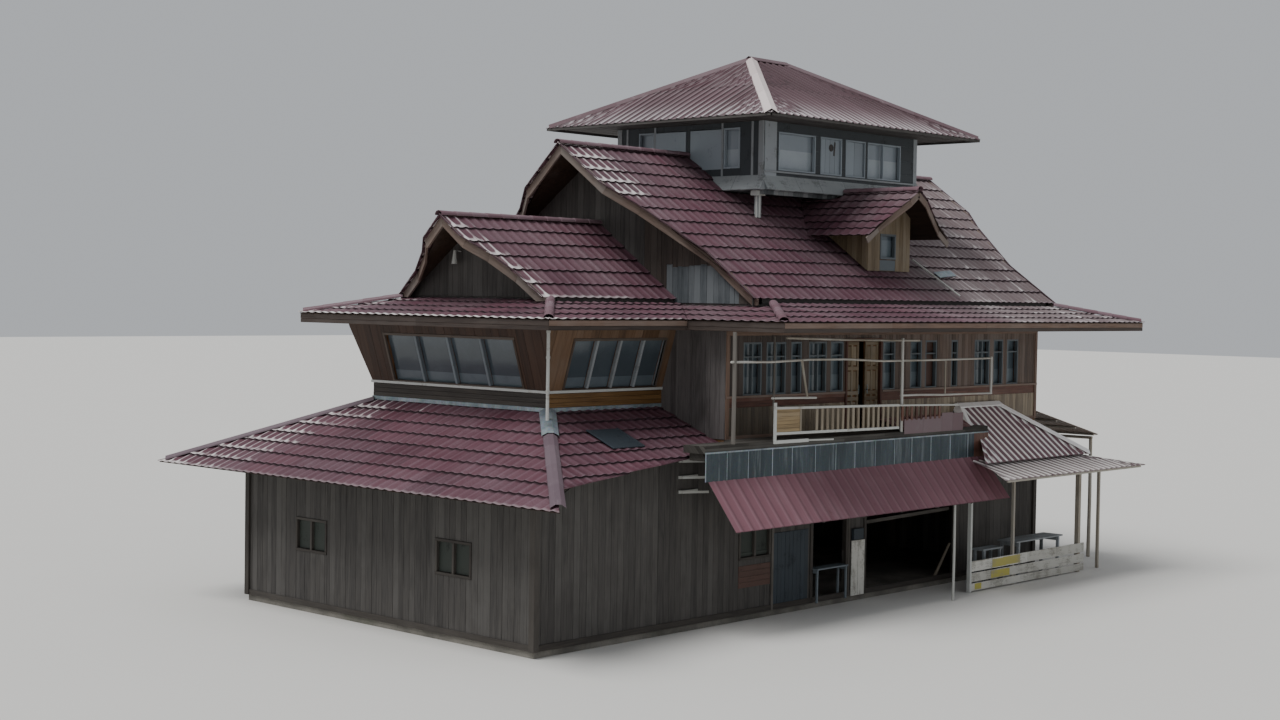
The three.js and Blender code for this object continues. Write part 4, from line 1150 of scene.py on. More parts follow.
def makeGables(facts, fresh):
    for key, g in facts.items():
        groups = {"grey": newBody(), "dark": newBody(), "gableBrown": newBody()}
        x = -g["half"]
        while x < g["half"] - 0.03:
            wide = min(dice.uniform(0.12, 0.19), g["half"] - x)
            edge = min(abs(x), abs(x + wide)) if x * (x + wide) > 0 else 0.0
            top = g["ridge"] - edge * mainRoof["pitch"]
            middle = x + wide / 2
            brown = (key == "back" and dice.random() < 0.4) or (key == "main" and middle > fresh["brownFrom"])
            parts = [("gableBrown" if brown else "dark", g["base"], top)]
            # painted shade: above top the grey boards of the lit patch turn brown
            if key == "main" and fresh["from"] < middle < fresh["to"]:
                split = fresh["top"] + dice.uniform(-0.03, 0.03)
                parts = [("grey", g["base"], min(split, top)), ("gableBrown", split + 0.006, top)]
            for kind, low, high in parts:
                if high > low + 0.02:
                    out = 0.018 + dice.uniform(-0.004, 0.004)
                    addBoard(groups[kind], facade(g["y"], g["out"]), (x + 0.002, x + wide - 0.002),
                             (low, high), (-0.005, out), "b")
            x += wide
        for kind, bm in groups.items():
            if not bm.verts:
                bm.free()
                continue
            for hand in (1, -1):
                trimTo(bm, (0, g["y"], g["ridge"]), (mainRoof["pitch"] * hand, 0, 1))
            closePiece(key + "_gable_" + kind + "_boards", bm, kind, bevel=0.003)


makeGables(gables, litNewBoards)


# Dark battens close the edge of the tiles along the verges, and a lamp hangs under the front one
vergeEdges = {
    "back": 0.025, "drop": 0.024, "wide": 0.04, "deep": 0.03,
    "lampX": -0.56, "lampArm": [(1.72, 7.5), (1.62, 7.52), (1.55, 7.5)],
    "lampShade": [(1.55, z) for z in (7.52, 7.44, 7.36, 7.24)],
}


def makeVergeEdges(facts):
    edges, lamp = newBodies(2)
    for roof, far in ((mainRoof, False), (mainRoof, True), (frontRoof, False)):
        for hand in (1, -1):
            points = vergeLine(roof, hand, far, facts["back"], facts["drop"])
            for start, end in zip(points, points[1:]):
                addBeam(edges, start, end, facts["wide"], facts["deep"])
    closePiece("verge_edges", edges, "verge", bevel=0.006)
    addPole(lamp, [(facts["lampX"], y, z) for y, z in facts["lampArm"]], 0.012, 8, 1.0)
    addPole(lamp, [(facts["lampX"], y, z) for y, z in facts["lampShade"]], 0.03, 14, 2.3)
    closePiece("gable_lamp", lamp, "white", soften=40)


makeVergeEdges(vergeEdges)

# Dormer on the balcony side; plan gives how far its roof reaches out at some distance along the house
dormer = {
    "y": 11.0, "ridge": 9.17, "half": 1.6, "pitch": 0.675, "wallHalf": 0.825, "face": 3.7, "ledge": 2.445,
    "plan": [(8.0, 4.3), (9.8, 4.3), (10.7, 4.55), (11.3, 4.55), (12.2, 4.3), (14.0, 4.3)],
    "window": (10.65, 11.26, 7.3, 8.14), "glassFrom": 7.56, "mainRoofTop": 9.93, "ledgeZ": 8.95,
    "wallZ": (7.2, 9.1), "wallBack": 1.9, "under": 0.07,
    "edge": (0.0, 0.3, 1.2, 1.6),      # where the barge board bends, out from the ridge
}


def makeDormer(facts):
    tiles, lining, boards, caps, ends, sash = newBodies(6)
    middle, ridge, pitch = facts["y"], facts["ridge"], facts["pitch"]
    z = ridge - facts["half"] * pitch

    def inner(r):
        # the roof starts at the main slope, and under the lookout at its ledge
        height = z + r * pitch
        ledge = facts["ledge"] if height > facts["ledgeZ"] else 0
        return max((facts["mainRoofTop"] - height) / mainRoof["pitch"], ledge)

    for hand in (1, -1):
        y = middle - facts["half"] * hand
        for bm, sheet, grow in ((tiles, dict(tileSheet, course=0.3), 0.0), (lining, flatSheet, 0.03)):
            addSheet(bm, sheet, endEave(y, z, hand), pitch, (grow, facts["half"]),
                     lambda r: (inner(r), bent(facts["plan"], y + r * hand) - grow))
        edge = [(bent(facts["plan"], middle - t * hand) - 0.05, middle - t * hand, ridge - t * pitch - 0.15)
                for t in facts["edge"]]
        for start, end in zip(edge, edge[1:]):
            addBeam(boards, start, end, 0.03, 0.15)
    addStrip(caps, halfRound, (4.56, middle, ridge - 0.01), (facts["ledge"], middle, ridge - 0.01), 0.4)
    closeRoof("dormer", "dormer_roof", tiles, lining, caps, 0.012)
    closePiece("dormer_barge_boards", boards, "barge", "dormer_roof")
    face, half, foot = flank(facts["face"]), facts["wallHalf"], facts["wallZ"][0]
    a0, a1, z0, z1 = facts["window"]
    cladding(ends, face, (middle - half, middle + half) + facts["wallZ"], [facts["window"]], 0.14, True,
             (-0.004, 0.018))
    for hand in (1, -1):
        trimTo(ends, (facts["face"], middle, ridge - facts["under"]), (0, pitch * hand, 1))
    area = (facts["wallBack"], facts["face"], foot, ridge - half * pitch - facts["under"])
    for hand in (1, -1):
        cladding(ends, facade(middle + half * hand, hand), area, [], 0.14, True, (-0.004, 0.016))
    trimTo(ends, (0, 0, 9.945), (-mainRoof["pitch"], 0, -1))
    closePiece("dormer_boards", ends, "dullYellow", bevel=0.002)
    addSash(sash, face, (a0, a1, facts["glassFrom"], z1), 0.05, (-0.05, 0.03))
    addBoard(sash, face, (a0, a1), (z0, facts["glassFrom"] - 0.015), (-0.02, 0.012))
    closePiece("dormer_sash", sash, "blueFrame")


makeDormer(dormer)

# Lookout: boarded panels, corner posts, sashes and a patched ledge; side windows are (start, end), and
# windows in the ends are (start, end, foot, top) on both sides of the middle
lookout = {
    "half": 2.24, "front": 8.2, "back": 14.15, "wallZ": (9.15, 10.6), "postZ": (9.14, 10.6),
    "side": [(8.72, 10.08), (10.27, 11.09), (11.24, 12.02), (12.11, 13.47)], "sideZ": (9.52, 10.39),
    "cornerPosts": (8.64, 14.01), "ledgeTrim": (9.46, 9.5),
    "ends": [(0.06, 1.0, 9.98, 10.48), (1.08, 1.56, 9.56, 10.48)], "extraBar": 12.75,
    "panels": {1: 4, 2: 2},      # how many panels stand behind the second and third window
    "endPosts": ((2.18, 0.07), (1.04, 0.025), (1.93, 0.03)), "endPanels": (0.55, 0.48, (9.55, 10.46)),
    "mark": (10.72, 10.16), "ledgeX": 2.44, "ledgeZ": 9.06, "ledgeLength": 0.385, "ledgeSlope": (0.2, 0.33),
    "ledgeJoints": (-2.32, -1.47, -0.49, 0.49, 1.47, 2.32), "stayX": 2.05, "stayY": (8.26, 14.09),
}


def makeLookoutWalls(facts):
    half, y0, y1 = facts["half"], facts["front"], facts["back"]
    walls, posts, sashes, panels, mark = newBodies(5)
    low, high = facts["sideZ"]
    wallZ, postZ = facts["wallZ"], facts["postZ"]
    panelX, panelHalf, panelZ = facts["endPanels"]
    for hand in (1, -1):
        face = flank(half * hand, hand)
        holes = [(a, b, low, high) for a, b in facts["side"]]
        cladding(walls, face, (y0, y1) + wallZ, holes, 0.3, False, (-0.004, 0.012))
        for n, hole in enumerate(holes):
            addSash(sashes, face, hole, 0.035, (-0.06, 0.022), [facts["extraBar"]] if n == 3 else [])
            count = facts["panels"].get(n, 0)
            for m in range(count):
                wide = (hole[1] - hole[0] - 0.08) / count
                a = hole[0] + 0.04 + m * wide
                addBoard(panels, face, (a + 0.004, a + wide - 0.004), (low + 0.04, high - 0.04),
                         (-0.05, -0.025), "b")
        addBoard(posts, face, (y0 + 0.02, facts["cornerPosts"][0]), postZ, (-0.01, 0.024), "b")
        addBoard(posts, face, (facts["cornerPosts"][1], y1), postZ, (-0.01, 0.024), "b")
        addBoard(posts, face, (y0, y1), facts["ledgeTrim"], (0.0, 0.06))
        endFace = facade(y0 if hand > 0 else y1, -hand)
        holes = [(s * (a + b) / 2 - (b - a) / 2, s * (a + b) / 2 + (b - a) / 2, c, d)
                 for a, b, c, d in facts["ends"] for s in (1, -1)]
        cladding(walls, endFace, (-half, half) + wallZ, holes, 0.3, True, (-0.004, 0.012))
        for hole in holes[2:]:
            addSash(sashes, endFace, hole, 0.04, (-0.06, 0.02))
        for s in (1, -1):
            for centre, wide in facts["endPosts"]:
                addPost(posts, endFace, s * centre, wide, postZ, (-0.01, 0.03))
            addPost(panels, endFace, s * panelX, panelHalf, panelZ, (0.008, 0.024))
    closePiece("lookout_boards", walls, "lookoutGrey", bevel=0.002)
    closePiece("lookout_posts", posts, "greyPaint", slot="grey_wood")
    closePiece("lookout_sashes", sashes, "panePaint")
    closePiece("lookout_panels", panels, "panePaint", bevel=0.003)
    face, spot = flank(half), facts["mark"]
    addPole(mark, [face.at(*spot, -0.03), face.at(*spot, -0.018)], 0.085, 16, 1.0)
    addBoard(mark, face, (10.82, 10.87), (9.98, 10.3), (-0.026, -0.018), "b", -0.1)
    closePiece("lookout_mark", mark, "dark", bevel=0)


def makeLookoutLedge(facts):
    half, y0, y1 = facts["half"], facts["front"], facts["back"]
    ledgeX, ledgeZ, (lean, rise) = facts["ledgeX"], facts["ledgeZ"], facts["ledgeSlope"]
    ledge, stays = newBodies(2)
    for hand in (1, -1):
        slope = Side((ledgeX * hand, 0, ledgeZ), (0, 1, 0), (-lean * hand, 0, rise), (rise * hand, 0, lean))
        joints = [y0 - 0.08] + [y0 + 0.15 + n * 0.93 + dice.uniform(-0.1, 0.1) for n in range(1, 6)]
        endY = (y0 + y1) / 2 - ((y1 - y0) / 2 + ledgeX - half) * hand
        endSlope = Side((0, endY, ledgeZ), (1, 0, 0), (0, lean * hand, rise), (0, -rise * hand, lean))
        for side, marks in ((slope, joints + [y1 + 0.08]), (endSlope, facts["ledgeJoints"])):
            for a, b in zip(marks, marks[1:]):
                out = 0.008 + dice.uniform(0, 0.006)
                addBoard(ledge, side, (a + 0.006, b - 0.006), (0.0, facts["ledgeLength"]), (-0.006, out))
    closePiece("lookout_ledge_sheets", ledge, "ledge", bevel=0.003)
    foot = mainRoof["ridge"] - facts["stayX"] * mainRoof["pitch"] - 0.04
    for x in (facts["stayX"], -facts["stayX"]):
        for y in facts["stayY"]:
            addPole(stays, [(x, y, foot), (x, y, 8.8), (x, y, ledgeZ)], 0.065, 12, 0.95)
            addBoard(stays, flank(x, 1, y), (-0.14, 0.14), (8.93, 9.04), (-0.1, 0.1))
    closePiece("lookout_stays", stays, "white", soften=40)


makeLookoutWalls(lookout)
makeLookoutLedge(lookout)
print("gables, dormer and lookout made")

# Balcony: uprights are (place along it, foot, top, radius), rails are bent lines of (place, height)
balcony = {
    "front": 2.88, "back": 12.9, "deck": 3.75, "oldPoleBefore": 5.5,
    "poleX": 5.22, "railX": 5.222, "beamX": 5.268, "boardX": 5.25, "stripX": 5.26, "braceX": 5.225,
    "brace": [(5.9, 5.375), (5.965, 5.1), (6.1, 4.6)],
    "panel": (5.04, 5.81), "panelFoot": 3.92, "panelRows": 6, "panelPitch": 0.08,
    "uprights": [(3.76, 3.75, 5.955, 0.045), (5.005, 4.4, 5.86, 0.024), (9.465, 3.75, 5.8, 0.036),
                 (11.155, 4.51, 5.33, 0.022), (13.055, 4.48, 5.35, 0.03)],
    "rails": [
        [(5.4, 5.83), (6.4, 5.805), (7.41, 5.78), (8.5, 5.765), (9.7, 5.75), (10.1, 5.748)],
        [(3.66, 5.365), (4.92, 5.35), (6.14, 5.38), (7.42, 5.37),
         (8.77, 5.312), (11.0, 5.308), (13.08, 5.318)],
        [(4.95, 4.62), (5.6, 4.61), (6.4, 4.59)],
        [(9.42, 4.55), (10.2, 4.545), (11.02, 4.52), (12.1, 4.512), (13.09, 4.5)],
    ],
    "beams": [((4.97, 4.42), (9.3, 4.345), 0.05), ((4.97, 3.905), (9.3, 3.855), 0.055),
              ((9.3, 4.34), (11.62, 4.28), 0.04), ((4.97, 3.735), (6.1, 3.73), 0.07),
              ((6.1, 3.73), (6.95, 3.71), 0.035)],
    "balusters": (6.34, 10.98, 0.18), "redFrom": 9.3,
    "endBoards": [(9.52, 10.24, 4.03), (10.24, 10.98, 4.05), (10.98, 11.42, 4.12), (11.42, 11.84, 4.1)],
    "deckX": (4.42, 5.24), "deckBoard": 0.112, "deckPitch": 0.118,
    "roomX": 4.7, "roomEnd": 4.46,      # inside roomX the boards start behind the front room
    "endSheet": (9.72, 12.32), "endSheetEave": (5.235, 3.765),
    "zincTo": 12.29, "zincZ": (3.05, 3.61), "edgeZ": (3.6, 3.63),
}


def makeRailing(facts):
    poles, oldPoles, frameParts, panel, sticks, redSticks, endPanel = newBodies(7)
    x, railX = facts["poleX"], facts["railX"]
    for y, z0, z1, radius in facts["uprights"]:
        tilt = dice.uniform(-0.012, 0.012)
        addPole(oldPoles if y < facts["oldPoleBefore"] else poles,
                [(x, y, z0), (railX, y + tilt, (z0 + z1) / 2), (x, y, z1)], radius)
    addPole(poles, [(facts["braceX"], y, z) for y, z in facts["brace"]], 0.026, 8)
    for rail in facts["rails"]:
        addPole(poles, [(railX, y, z) for y, z in rail], 0.024, 8)
    closePiece("balcony_poles_round", poles, "balconyPole", "balcony_poles", soften=40)
    closePiece("balcony_old_pole", oldPoles, "dullPole", "balcony_poles", soften=40)
    face, x = flank(facts["boardX"]), facts["beamX"]
    for start, end, high in facts["beams"]:
        addBeam(frameParts, (x, *start), (x, *end), 0.034, high)
    first, last = facts["panel"]
    addBoard(frameParts, face, (first - 0.07, first), (3.7, 4.53), (0.0, 0.037), "b")
    addBoard(sticks, face, (last, last + 0.05), (3.9, 4.4), (0.002, 0.03), "b")
    for n in range(facts["panelRows"]):
        z = facts["panelFoot"] + n * facts["panelPitch"]
        addBoard(panel, face, facts["panel"], (z, z + 0.078), (0.004, 0.018 + 0.004 * (n % 2)))
    start, end, step = facts["balusters"]
    for n in range(int((end - start) / step) + 1):
        y = start + n * step
        near = y < facts["redFrom"]
        high = (3.86 if near else 4.0, 4.37 - (y - 6) * 0.014)
        addBoard(sticks if near else redSticks, face, (y, y + 0.075), high, (0.004, 0.028), "b",
                 dice.uniform(-0.02, 0.02))
    for a0, a1, top in facts["endBoards"]:
        addBoard(endPanel, face, (a0 + 0.002, a1 - 0.002), (3.7, top), (0.006, 0.02), "b")
    closePiece("balustrade_frame", frameParts, "white", "balcony_balustrade")
    closePiece("balustrade_panel", panel, "tan", "balcony_balustrade", bevel=0.003)
    closePiece("balusters", sticks, "paleSticks", "balcony_balustrade")
    closePiece("far_balusters", redSticks, "redBrown", "balcony_balustrade")
    closePiece("balustrade_end_panel", endPanel, "endPanel", "balcony_balustrade", bevel=0.003)


def makeDeck(facts):
    deck, zinc, seams, brown, endSheet = newBodies(5)
    front, back = facts["front"], facts["back"] - 0.01
    x, inner = facts["deckX"]
    while x < inner:
        first = front + 0.01 if x > facts["roomX"] else facts["roomEnd"]
        joints = [first, dice.uniform(6, 7), dice.uniform(9, 10.5), back]
        for a, b in zip(joints, joints[1:]):
            addBoard(deck, shelf(facts["deck"]), (a + 0.002, b - 0.002), (x, x + facts["deckBoard"]),
                     (-0.03, 0.004 + dice.uniform(-0.002, 0.002)))
        x += facts["deckPitch"]
    closePiece("deck_boards", deck, "deckPlanks", bevel=0.003)
    strip, (foot, top), a = flank(facts["stripX"]), facts["zincZ"], front
    while a < facts["zincTo"] - 0.01:
        wide = min(dice.uniform(0.62, 0.78), facts["zincTo"] - a)
        low, out = foot + dice.uniform(0, 0.012), 0.02 + dice.uniform(0, 0.006)
        addBoard(zinc, strip, (a, a + wide + 0.01), (low, top + 0.005), (0.002, out), "b")
        addPost(seams, strip, a, 0.012, (foot + 0.01, top), (0.018, 0.029))
        a += wide
    addBoard(seams, strip, (front, back), facts["edgeZ"], (0.0, 0.03))
    addBoard(brown, strip, (facts["zincTo"] + 0.01, back), facts["zincZ"], (0.002, 0.026), "b")
    closePiece("zinc_sheets", zinc, "zinc", "balcony_zinc_strip", bevel=0.003)
    closePiece("zinc_seams", seams, "flashing", "balcony_zinc_strip", bevel=0.003)
    closePiece("strip_end_board", brown, "redBrown", "balcony_zinc_strip", "dark_wood")
    start, end = facts["endSheet"]
    addSheet(endSheet, dict(ribSheet, wave=0.26), sideEave(*facts["endSheetEave"], 1), 0.3, (0.005, 0.82),
             lambda r: (start, end + r * 0.6))
    closePiece("end_sheet_ribs", endSheet, "dustyRibs", "balcony_end_sheet", thick=0.004, soften=30)


makeRailing(balcony)
makeDeck(balcony)

# Awning below the balcony; low and high are its edges, each (x, z)
awning = {
    "low": (6.03, 2.155), "high": (5.29, 3.07), "from": 2.95, "to": 12.695, "post": (5.905, 10.605),
    "rafters": 8, "purlins": (0.12, 0.9),      # purlins lie at these shares of the slope
}
awningSheet = dict(ribSheet, wave=0.31, profile=[(0, 0), (0.08, 0), (0.15, -0.011), (0.93, -0.011), (1, 0)])


def makeAwning(facts):
    (x0, z0), (x1, z1) = facts["low"], facts["high"]
    first, last = facts["from"], facts["to"]
    sheets, timber, post = newBodies(3)
    addSheet(sheets, awningSheet, sideEave(x0, z0, 1), (z1 - z0) / (x0 - x1), (0.0, x0 - x1),
             lambda r: (first + r * 0.02, last))
    closePiece("awning_sheets", sheets, "awningRibs", "awning_roof", thick=0.003, soften=30)
    for share in facts["purlins"]:
        x, z = x0 + (x1 - x0) * share, z0 + (z1 - z0) * share - 0.08
        addBeam(timber, (x, first + 0.05, z), (x, last - 0.05, z), 0.04, 0.05)
    for n in range(facts["rafters"]):
        y = first + 0.12 + n * (last - first - 0.24) / (facts["rafters"] - 1)
        addBeam(timber, (x0 - 0.07, y, z0 - 0.03), (x1 - 0.03, y, z1 - 0.08), 0.05, 0.04)
    closePiece("awning_timbers", timber, "dark", "awning_roof")
    x, y = facts["post"]
    addPole(post, [(x, y, 0.001), (x + 0.005, y, 1.1), (x, y, 2.22)], 0.032, 10, 0.92)
    closePiece("awning_pole", post, "white", "awning_post", soften=40)


makeAwning(awning)

# Boards on four legs, with beams between the legs of each end
tables = {
    "porch_table": {
        "finish": "greyPaint", "node": "porch_bench", "top": 0.99, "thick": 0.035, "long": (13.85, 15.95),
        "rows": [(4.985 + n * 0.138, 5.118 + n * 0.138) for n in range(4)],
        "ends": (13.98, 15.78), "legs": (5.04, 5.49), "legSize": (0.03, 0.035), "legZ": (0, 0.955),
        "beamX": (5.0, 5.52), "beams": [(0.9, 0.04, 0.09), (0.3, 0.035, 0.06)],
    },
    "porch_stool": {
        "finish": "greyPaint", "node": None, "top": 0.88, "thick": 0.04, "long": (12.75, 13.6),
        "rows": [(4.985 + n * 0.165, 5.145 + n * 0.165) for n in range(2)],
        "ends": (12.84, 13.51), "legs": (5.03, 5.27), "legSize": (0.03, 0.03), "legZ": (0, 0.845),
        "beamX": (5.01, 5.29), "beams": [(0.4, 0.035, 0.06)],
    },
    "side_bench_boards": {
        "finish": "benchPaint", "node": "side_bench", "top": 0.86, "thick": 0.03, "long": (7.4, 8.5),
        "rows": [(4.295 + n * 0.097, 4.388 + n * 0.097) for n in range(3)],
        "ends": (7.44, 8.46), "legs": (4.33, 4.54), "legSize": (0.022, 0.022), "legZ": (0.122, 0.83),
        "beamX": (4.3, 4.57), "beams": [(0.79, 0.03, 0.07)],
    },
}


def makeTable(name):
    facts = tables[name]
    bm = newBody()
    for row in facts["rows"]:
        addBoard(bm, shelf(facts["top"]), facts["long"], row, (-facts["thick"], 0.0))
    wide, deep = facts["legSize"]
    x0, x1 = facts["beamX"]
    for y in facts["ends"]:
        for x in facts["legs"]:
            addPost(bm, flank(x, 1, y), 0, wide, facts["legZ"], (-deep, deep))
        for z, thick, high in facts["beams"]:
            addBeam(bm, (x0, y, z), (x1, y, z), thick, high)
    closePiece(name, bm, facts["finish"], facts["node"])


# Porch: a steep roof, a shallow skirt below it, a frame of posts and a plank parapet
porch = {
    "x": 5.9, "eave": 2.98, "pitch": 0.82, "wall": 4.405,
    "near": (11.866, 1.19), "far": (16.55, 0.6),      # where the two short slopes start, and their pitches
    "caps": [((5.06, 12.445, 3.715), (4.43, 12.89, 4.225), 0.9),
             ((5.87, 16.5, 3.03), (4.43, 14.53, 4.225), 1.2),
             ((4.5, 12.68, 4.215), (4.5, 14.58, 4.215), 0.9)],
    "skirtX": 6.75, "skirtEave": 2.7, "skirtBack": 17.75, "skirtPitches": (0.24, 0.18),
    "posts": [(13.7, 0.035, 2.91), (16.7, 0.055, 2.91), (17.7, 0.035, 2.64)],      # (y, half, height)
    "postX": 5.5,
    "beams": [((12.78, 2.86), (17.0, 2.83)), ((17.0, 2.78), (17.72, 2.66))], "edgeBeam": (6.68, 2.655),
    "rafters": 6, "rafterFrom": 12.6, "rafterPitch": 0.85, "cornerY": 11.85, "parapetX": 5.535,
    "cutZ": 3.77, "cutY": 12.73, "cutX": 5.3, "cutSlope": 1.447,      # where the near slope is cut back
    "planks": [(0.02, 0.2), (0.23, 0.44), (0.47, 0.71)], "plankEnds": [(11.86, 14.3), (14.3, 16.94)],
    "patches": [(12.75, 13.35, 0.49, 0.68), (13.2, 13.95, 0.5, 0.69), (12.7, 13.5, 0.25, 0.42),
                (12.02, 12.3, 0.05, 0.19)],
}
porchSheet = dict(ribSheet, wave=0.25, profile=[(0, 0), (0.2, 0), (0.3, -0.026), (0.9, -0.026), (1, 0)])


def makePorch(facts):
    x, z, pitch, wall, postX = [facts[name] for name in ("x", "eave", "pitch", "wall", "postX")]
    (nearY, nearPitch), (farY, farPitch) = facts["near"], facts["far"]
    sheets, caps, skirtSheets, timbers, planks, patch, post = newBodies(7)

    def nearEdge(r):
        # the hip, and under the balcony's end sheet the edge is cut back
        hip = nearY + r * pitch / nearPitch
        if z + r * pitch > facts["cutZ"]:
            return hip
        return max(hip, facts["cutY"] - max(0.0, x - r - facts["cutX"]) * facts["cutSlope"])

    addSheet(sheets, porchSheet, sideEave(x, z, 1), pitch, (0.0, 1.49),
             lambda r: (nearEdge(r), farY - r * pitch / farPitch))
    addSheet(sheets, porchSheet, endEave(farY, z, -1), farPitch, (0.0, 2.04),
             lambda q: (wall, x - q * farPitch / pitch))
    addSheet(sheets, porchSheet, endEave(nearY, z, 1), nearPitch, (0.67, 1.03),
             lambda q: (wall, x - q * nearPitch / pitch))
    closePiece("porch_sheets", sheets, "porchRibs", "porch_roof", thick=0.003, soften=30)
    for start, end, piece in facts["caps"]:
        addStrip(caps, foldCap, start, end, piece, 0.02)
    closePiece("porch_caps", caps, "whiteCap", "porch_roof", thick=0.003, soften=20)
    x, z, back = facts["skirtX"], facts["skirtEave"], facts["skirtBack"]
    pitch, farPitch = facts["skirtPitches"]
    addSheet(skirtSheets, porchSheet, sideEave(x, z, 1), pitch, (0.006, 1.29),
             lambda r: (11.28 + r * 0.7295 if r < 0.85 else 11.973, back - r * 1.333))
    addSheet(skirtSheets, porchSheet, endEave(back, z, -1), farPitch, (0.006, 1.11),
             lambda q: (4.41, x - 0.006 - q * 0.75))
    closePiece("porch_skirt_sheets", skirtSheets, "skirtRibs", "porch_skirt", thick=0.003, soften=30)
    for y, wide, high in facts["posts"]:
        addPost(timbers, flank(postX, 1, y), 0, wide, (0.0, high), (-wide, wide))
    for start, end in facts["beams"]:
        addBeam(timbers, (postX, *start), (postX, *end), 0.07, 0.1)
    edgeX, edgeZ = facts["edgeBeam"]
    for n in range(facts["rafters"]):
        y = facts["rafterFrom"] + n * facts["rafterPitch"]
        addBeam(timbers, (4.42, y, 2.87 if n else 3.0), (edgeX - 0.02, y, edgeZ + 0.01), 0.045, 0.06)
    addBeam(timbers, (edgeX, 11.5, edgeZ), (edgeX, 17.6, edgeZ), 0.045, 0.06)
    closePiece("porch_timbers", timbers, "pale", "porch_frame", bevel=0.005)
    rail = flank(facts["parapetX"])
    for z0, z1 in facts["planks"]:
        for a, b in facts["plankEnds"]:
            addBoard(planks, rail, (a + 0.003, b - 0.003), (z0 + dice.uniform(-0.01, 0.01), z1),
                     (0.001, 0.024))
    for a, b, z0, z1 in facts["patches"]:
        addBoard(patch, rail, (a, b), (z0, z1), (0.018, 0.0262 + dice.uniform(0, 0.001)))
    closePiece("parapet_planks", planks, "parapet", "porch_parapet", bevel=0.005)
    closePiece("parapet_yellow_board", patch, "yellowPaint", "porch_parapet", bevel=0.003)
    addPost(post, flank(postX, 1, facts["cornerY"]), 0, 0.035, (0.0, 2.72), (-0.035, 0.06))
    closePiece("parapet_post", post, "white", "porch_parapet", bevel=0.006)
    makeTable("porch_table")
    makeTable("porch_stool")


makePorch(porch)

# Lean-to at the back, roofed with old rusty sheets
backRoof = {
    "low": (19.6, 3.214), "run": 3.19, "pitch": 0.23, "half": 4.4, "battenHalf": 4.36,
    "postX": 4.3, "postY": 19.4,
}


def makeBackRoof(facts):
    (y, z), pitch, long, postY = facts["low"], facts["pitch"], facts["battenHalf"], facts["postY"]
    sheets, timbers, posts = newBodies(3)
    addSheet(sheets, dict(ribSheet, wave=0.2), endEave(y, z, -1), pitch, (0.004, facts["run"]),
             lambda r: (-facts["half"], facts["half"]))
    closePiece("back_sheets", sheets, "rustRibs", "back_roof", thick=0.003, soften=30)
    for n in range(4):
        run = 0.15 + n * 0.95
        high = z + run * pitch - 0.052
        addBeam(timbers, (-long, y - run, high), (long, y - run, high), 0.05, 0.04)
    closePiece("back_battens", timbers, "pale", "back_roof", "dark_wood")
    for x in (-facts["postX"], facts["postX"]):
        addPole(posts, [(x, postY, 0.001), (x + 0.01, postY, 1.6), (x, postY, 3.08)], 0.05)
    addPole(posts, [(-4.34, postY, 3.12), (0, postY, 3.1), (4.34, postY, 3.12)], 0.04, 10, 1.0)
    closePiece("back_poles", posts, "pale", "back_roof_posts", soften=40)


makeBackRoof(backRoof)
print("balcony, awning, porch and back made")

# Ground storey: old dark boards with patches of paint; its openings are (start, end, foot, top)
groundStorey = {
    "right": [(4.95, 5.98, 1.25, 1.95), (7.37, 8.64, 0.0, 2.25), (9.3, 12.95, 0.0, 2.25)],
    "left": [(4.95, 5.98, 1.25, 1.95), (9.3, 10.33, 1.25, 1.95)],
    "front": [(-2.715, -1.685, 1.25, 1.95), (1.685, 2.715, 1.25, 1.95)], "back": [(-0.5, 0.5, 0.0, 2.15)],
    "y": (-0.8, 16.4), "half": 4.4, "top": 3.59, "frontTop": 3.39, "bottom": 0.125,
    "casing": 0.045, "skirtingTop": 0.24, "battens": (6.03, 8.69), "redZ": 0.68, "redRows": 4,
    "blueFrom": 6.075, "blueBoards": 9, "blueBoard": 0.127, "bluePitch": 0.131, "blueTop": 1.73,
    "whiteBoards": ((8.76, 8.99), (9.0, 9.24)), "slatZ": (3.4, 3.08, 2.79), "margin": 0.06,
}


def makeGroundWalls(facts):
    trim, door = newBodies(2)
    bottom, half, (y0, y1) = facts["bottom"], facts["half"], facts["y"]
    for name, side in (("right", rightWall), ("left", leftWall), ("front", facade(y0)), ("back", backWall)):
        long = name in ("right", "left")
        low, holes = newBody(), facts[name]
        a0, a1 = facts["y"] if long else (-half, half)
        high = facts["frontTop" if name == "front" else "top"]
        cladding(low, side, (a0, a1, bottom, high), holes, 0.165, True, (-0.004, 0.02))
        if long:
            trimTo(low, (0, 1.16, 3.56), (0, -0.46, 1))
            trimTo(low, (0, 0, 3.54), (0, 0, 1))
        closePiece("low_" + name + "_boards", low, "dark", bevel=0.003)
        for hole in holes:
            start, end, foot, head = hole
            if head - foot < 1:
                addSash(trim, side, hole, 0.055, (-0.06, 0.04), [(start + end) / 2])
                continue
            wide = facts["casing"]
            for a in (start, end):
                addPost(trim, side, a, wide, (bottom, head + wide), (-0.02, 0.045))
            addBoard(trim, side, (start - wide, end + wide), (head - wide, head + wide), (-0.02, 0.045))
        addBoard(trim, side, (a0, a1), (bottom, facts["skirtingTop"]), (0.01, 0.045))
    for x in (half, -half):
        for y in (y0, y1):
            addPost(trim, flank(x, 1, y), 0, 0.07, (bottom, 3.3), (-0.07, 0.07))
    closePiece("low_trim", trim, "bandBoards", bevel=0.005)
    inside = facade(16.33, 1)
    cladding(door, inside, (-0.49, 0.49, 0.13, 2.14), [], 0.14, True, (-0.03, 0.0))
    for z in (0.5, 1.7):
        addBoard(door, inside, (-0.47, 0.47), (z, z + 0.12), (0.0, 0.025))
    closePiece("low_back_door", door, "dullWood", slot="dark_wood")


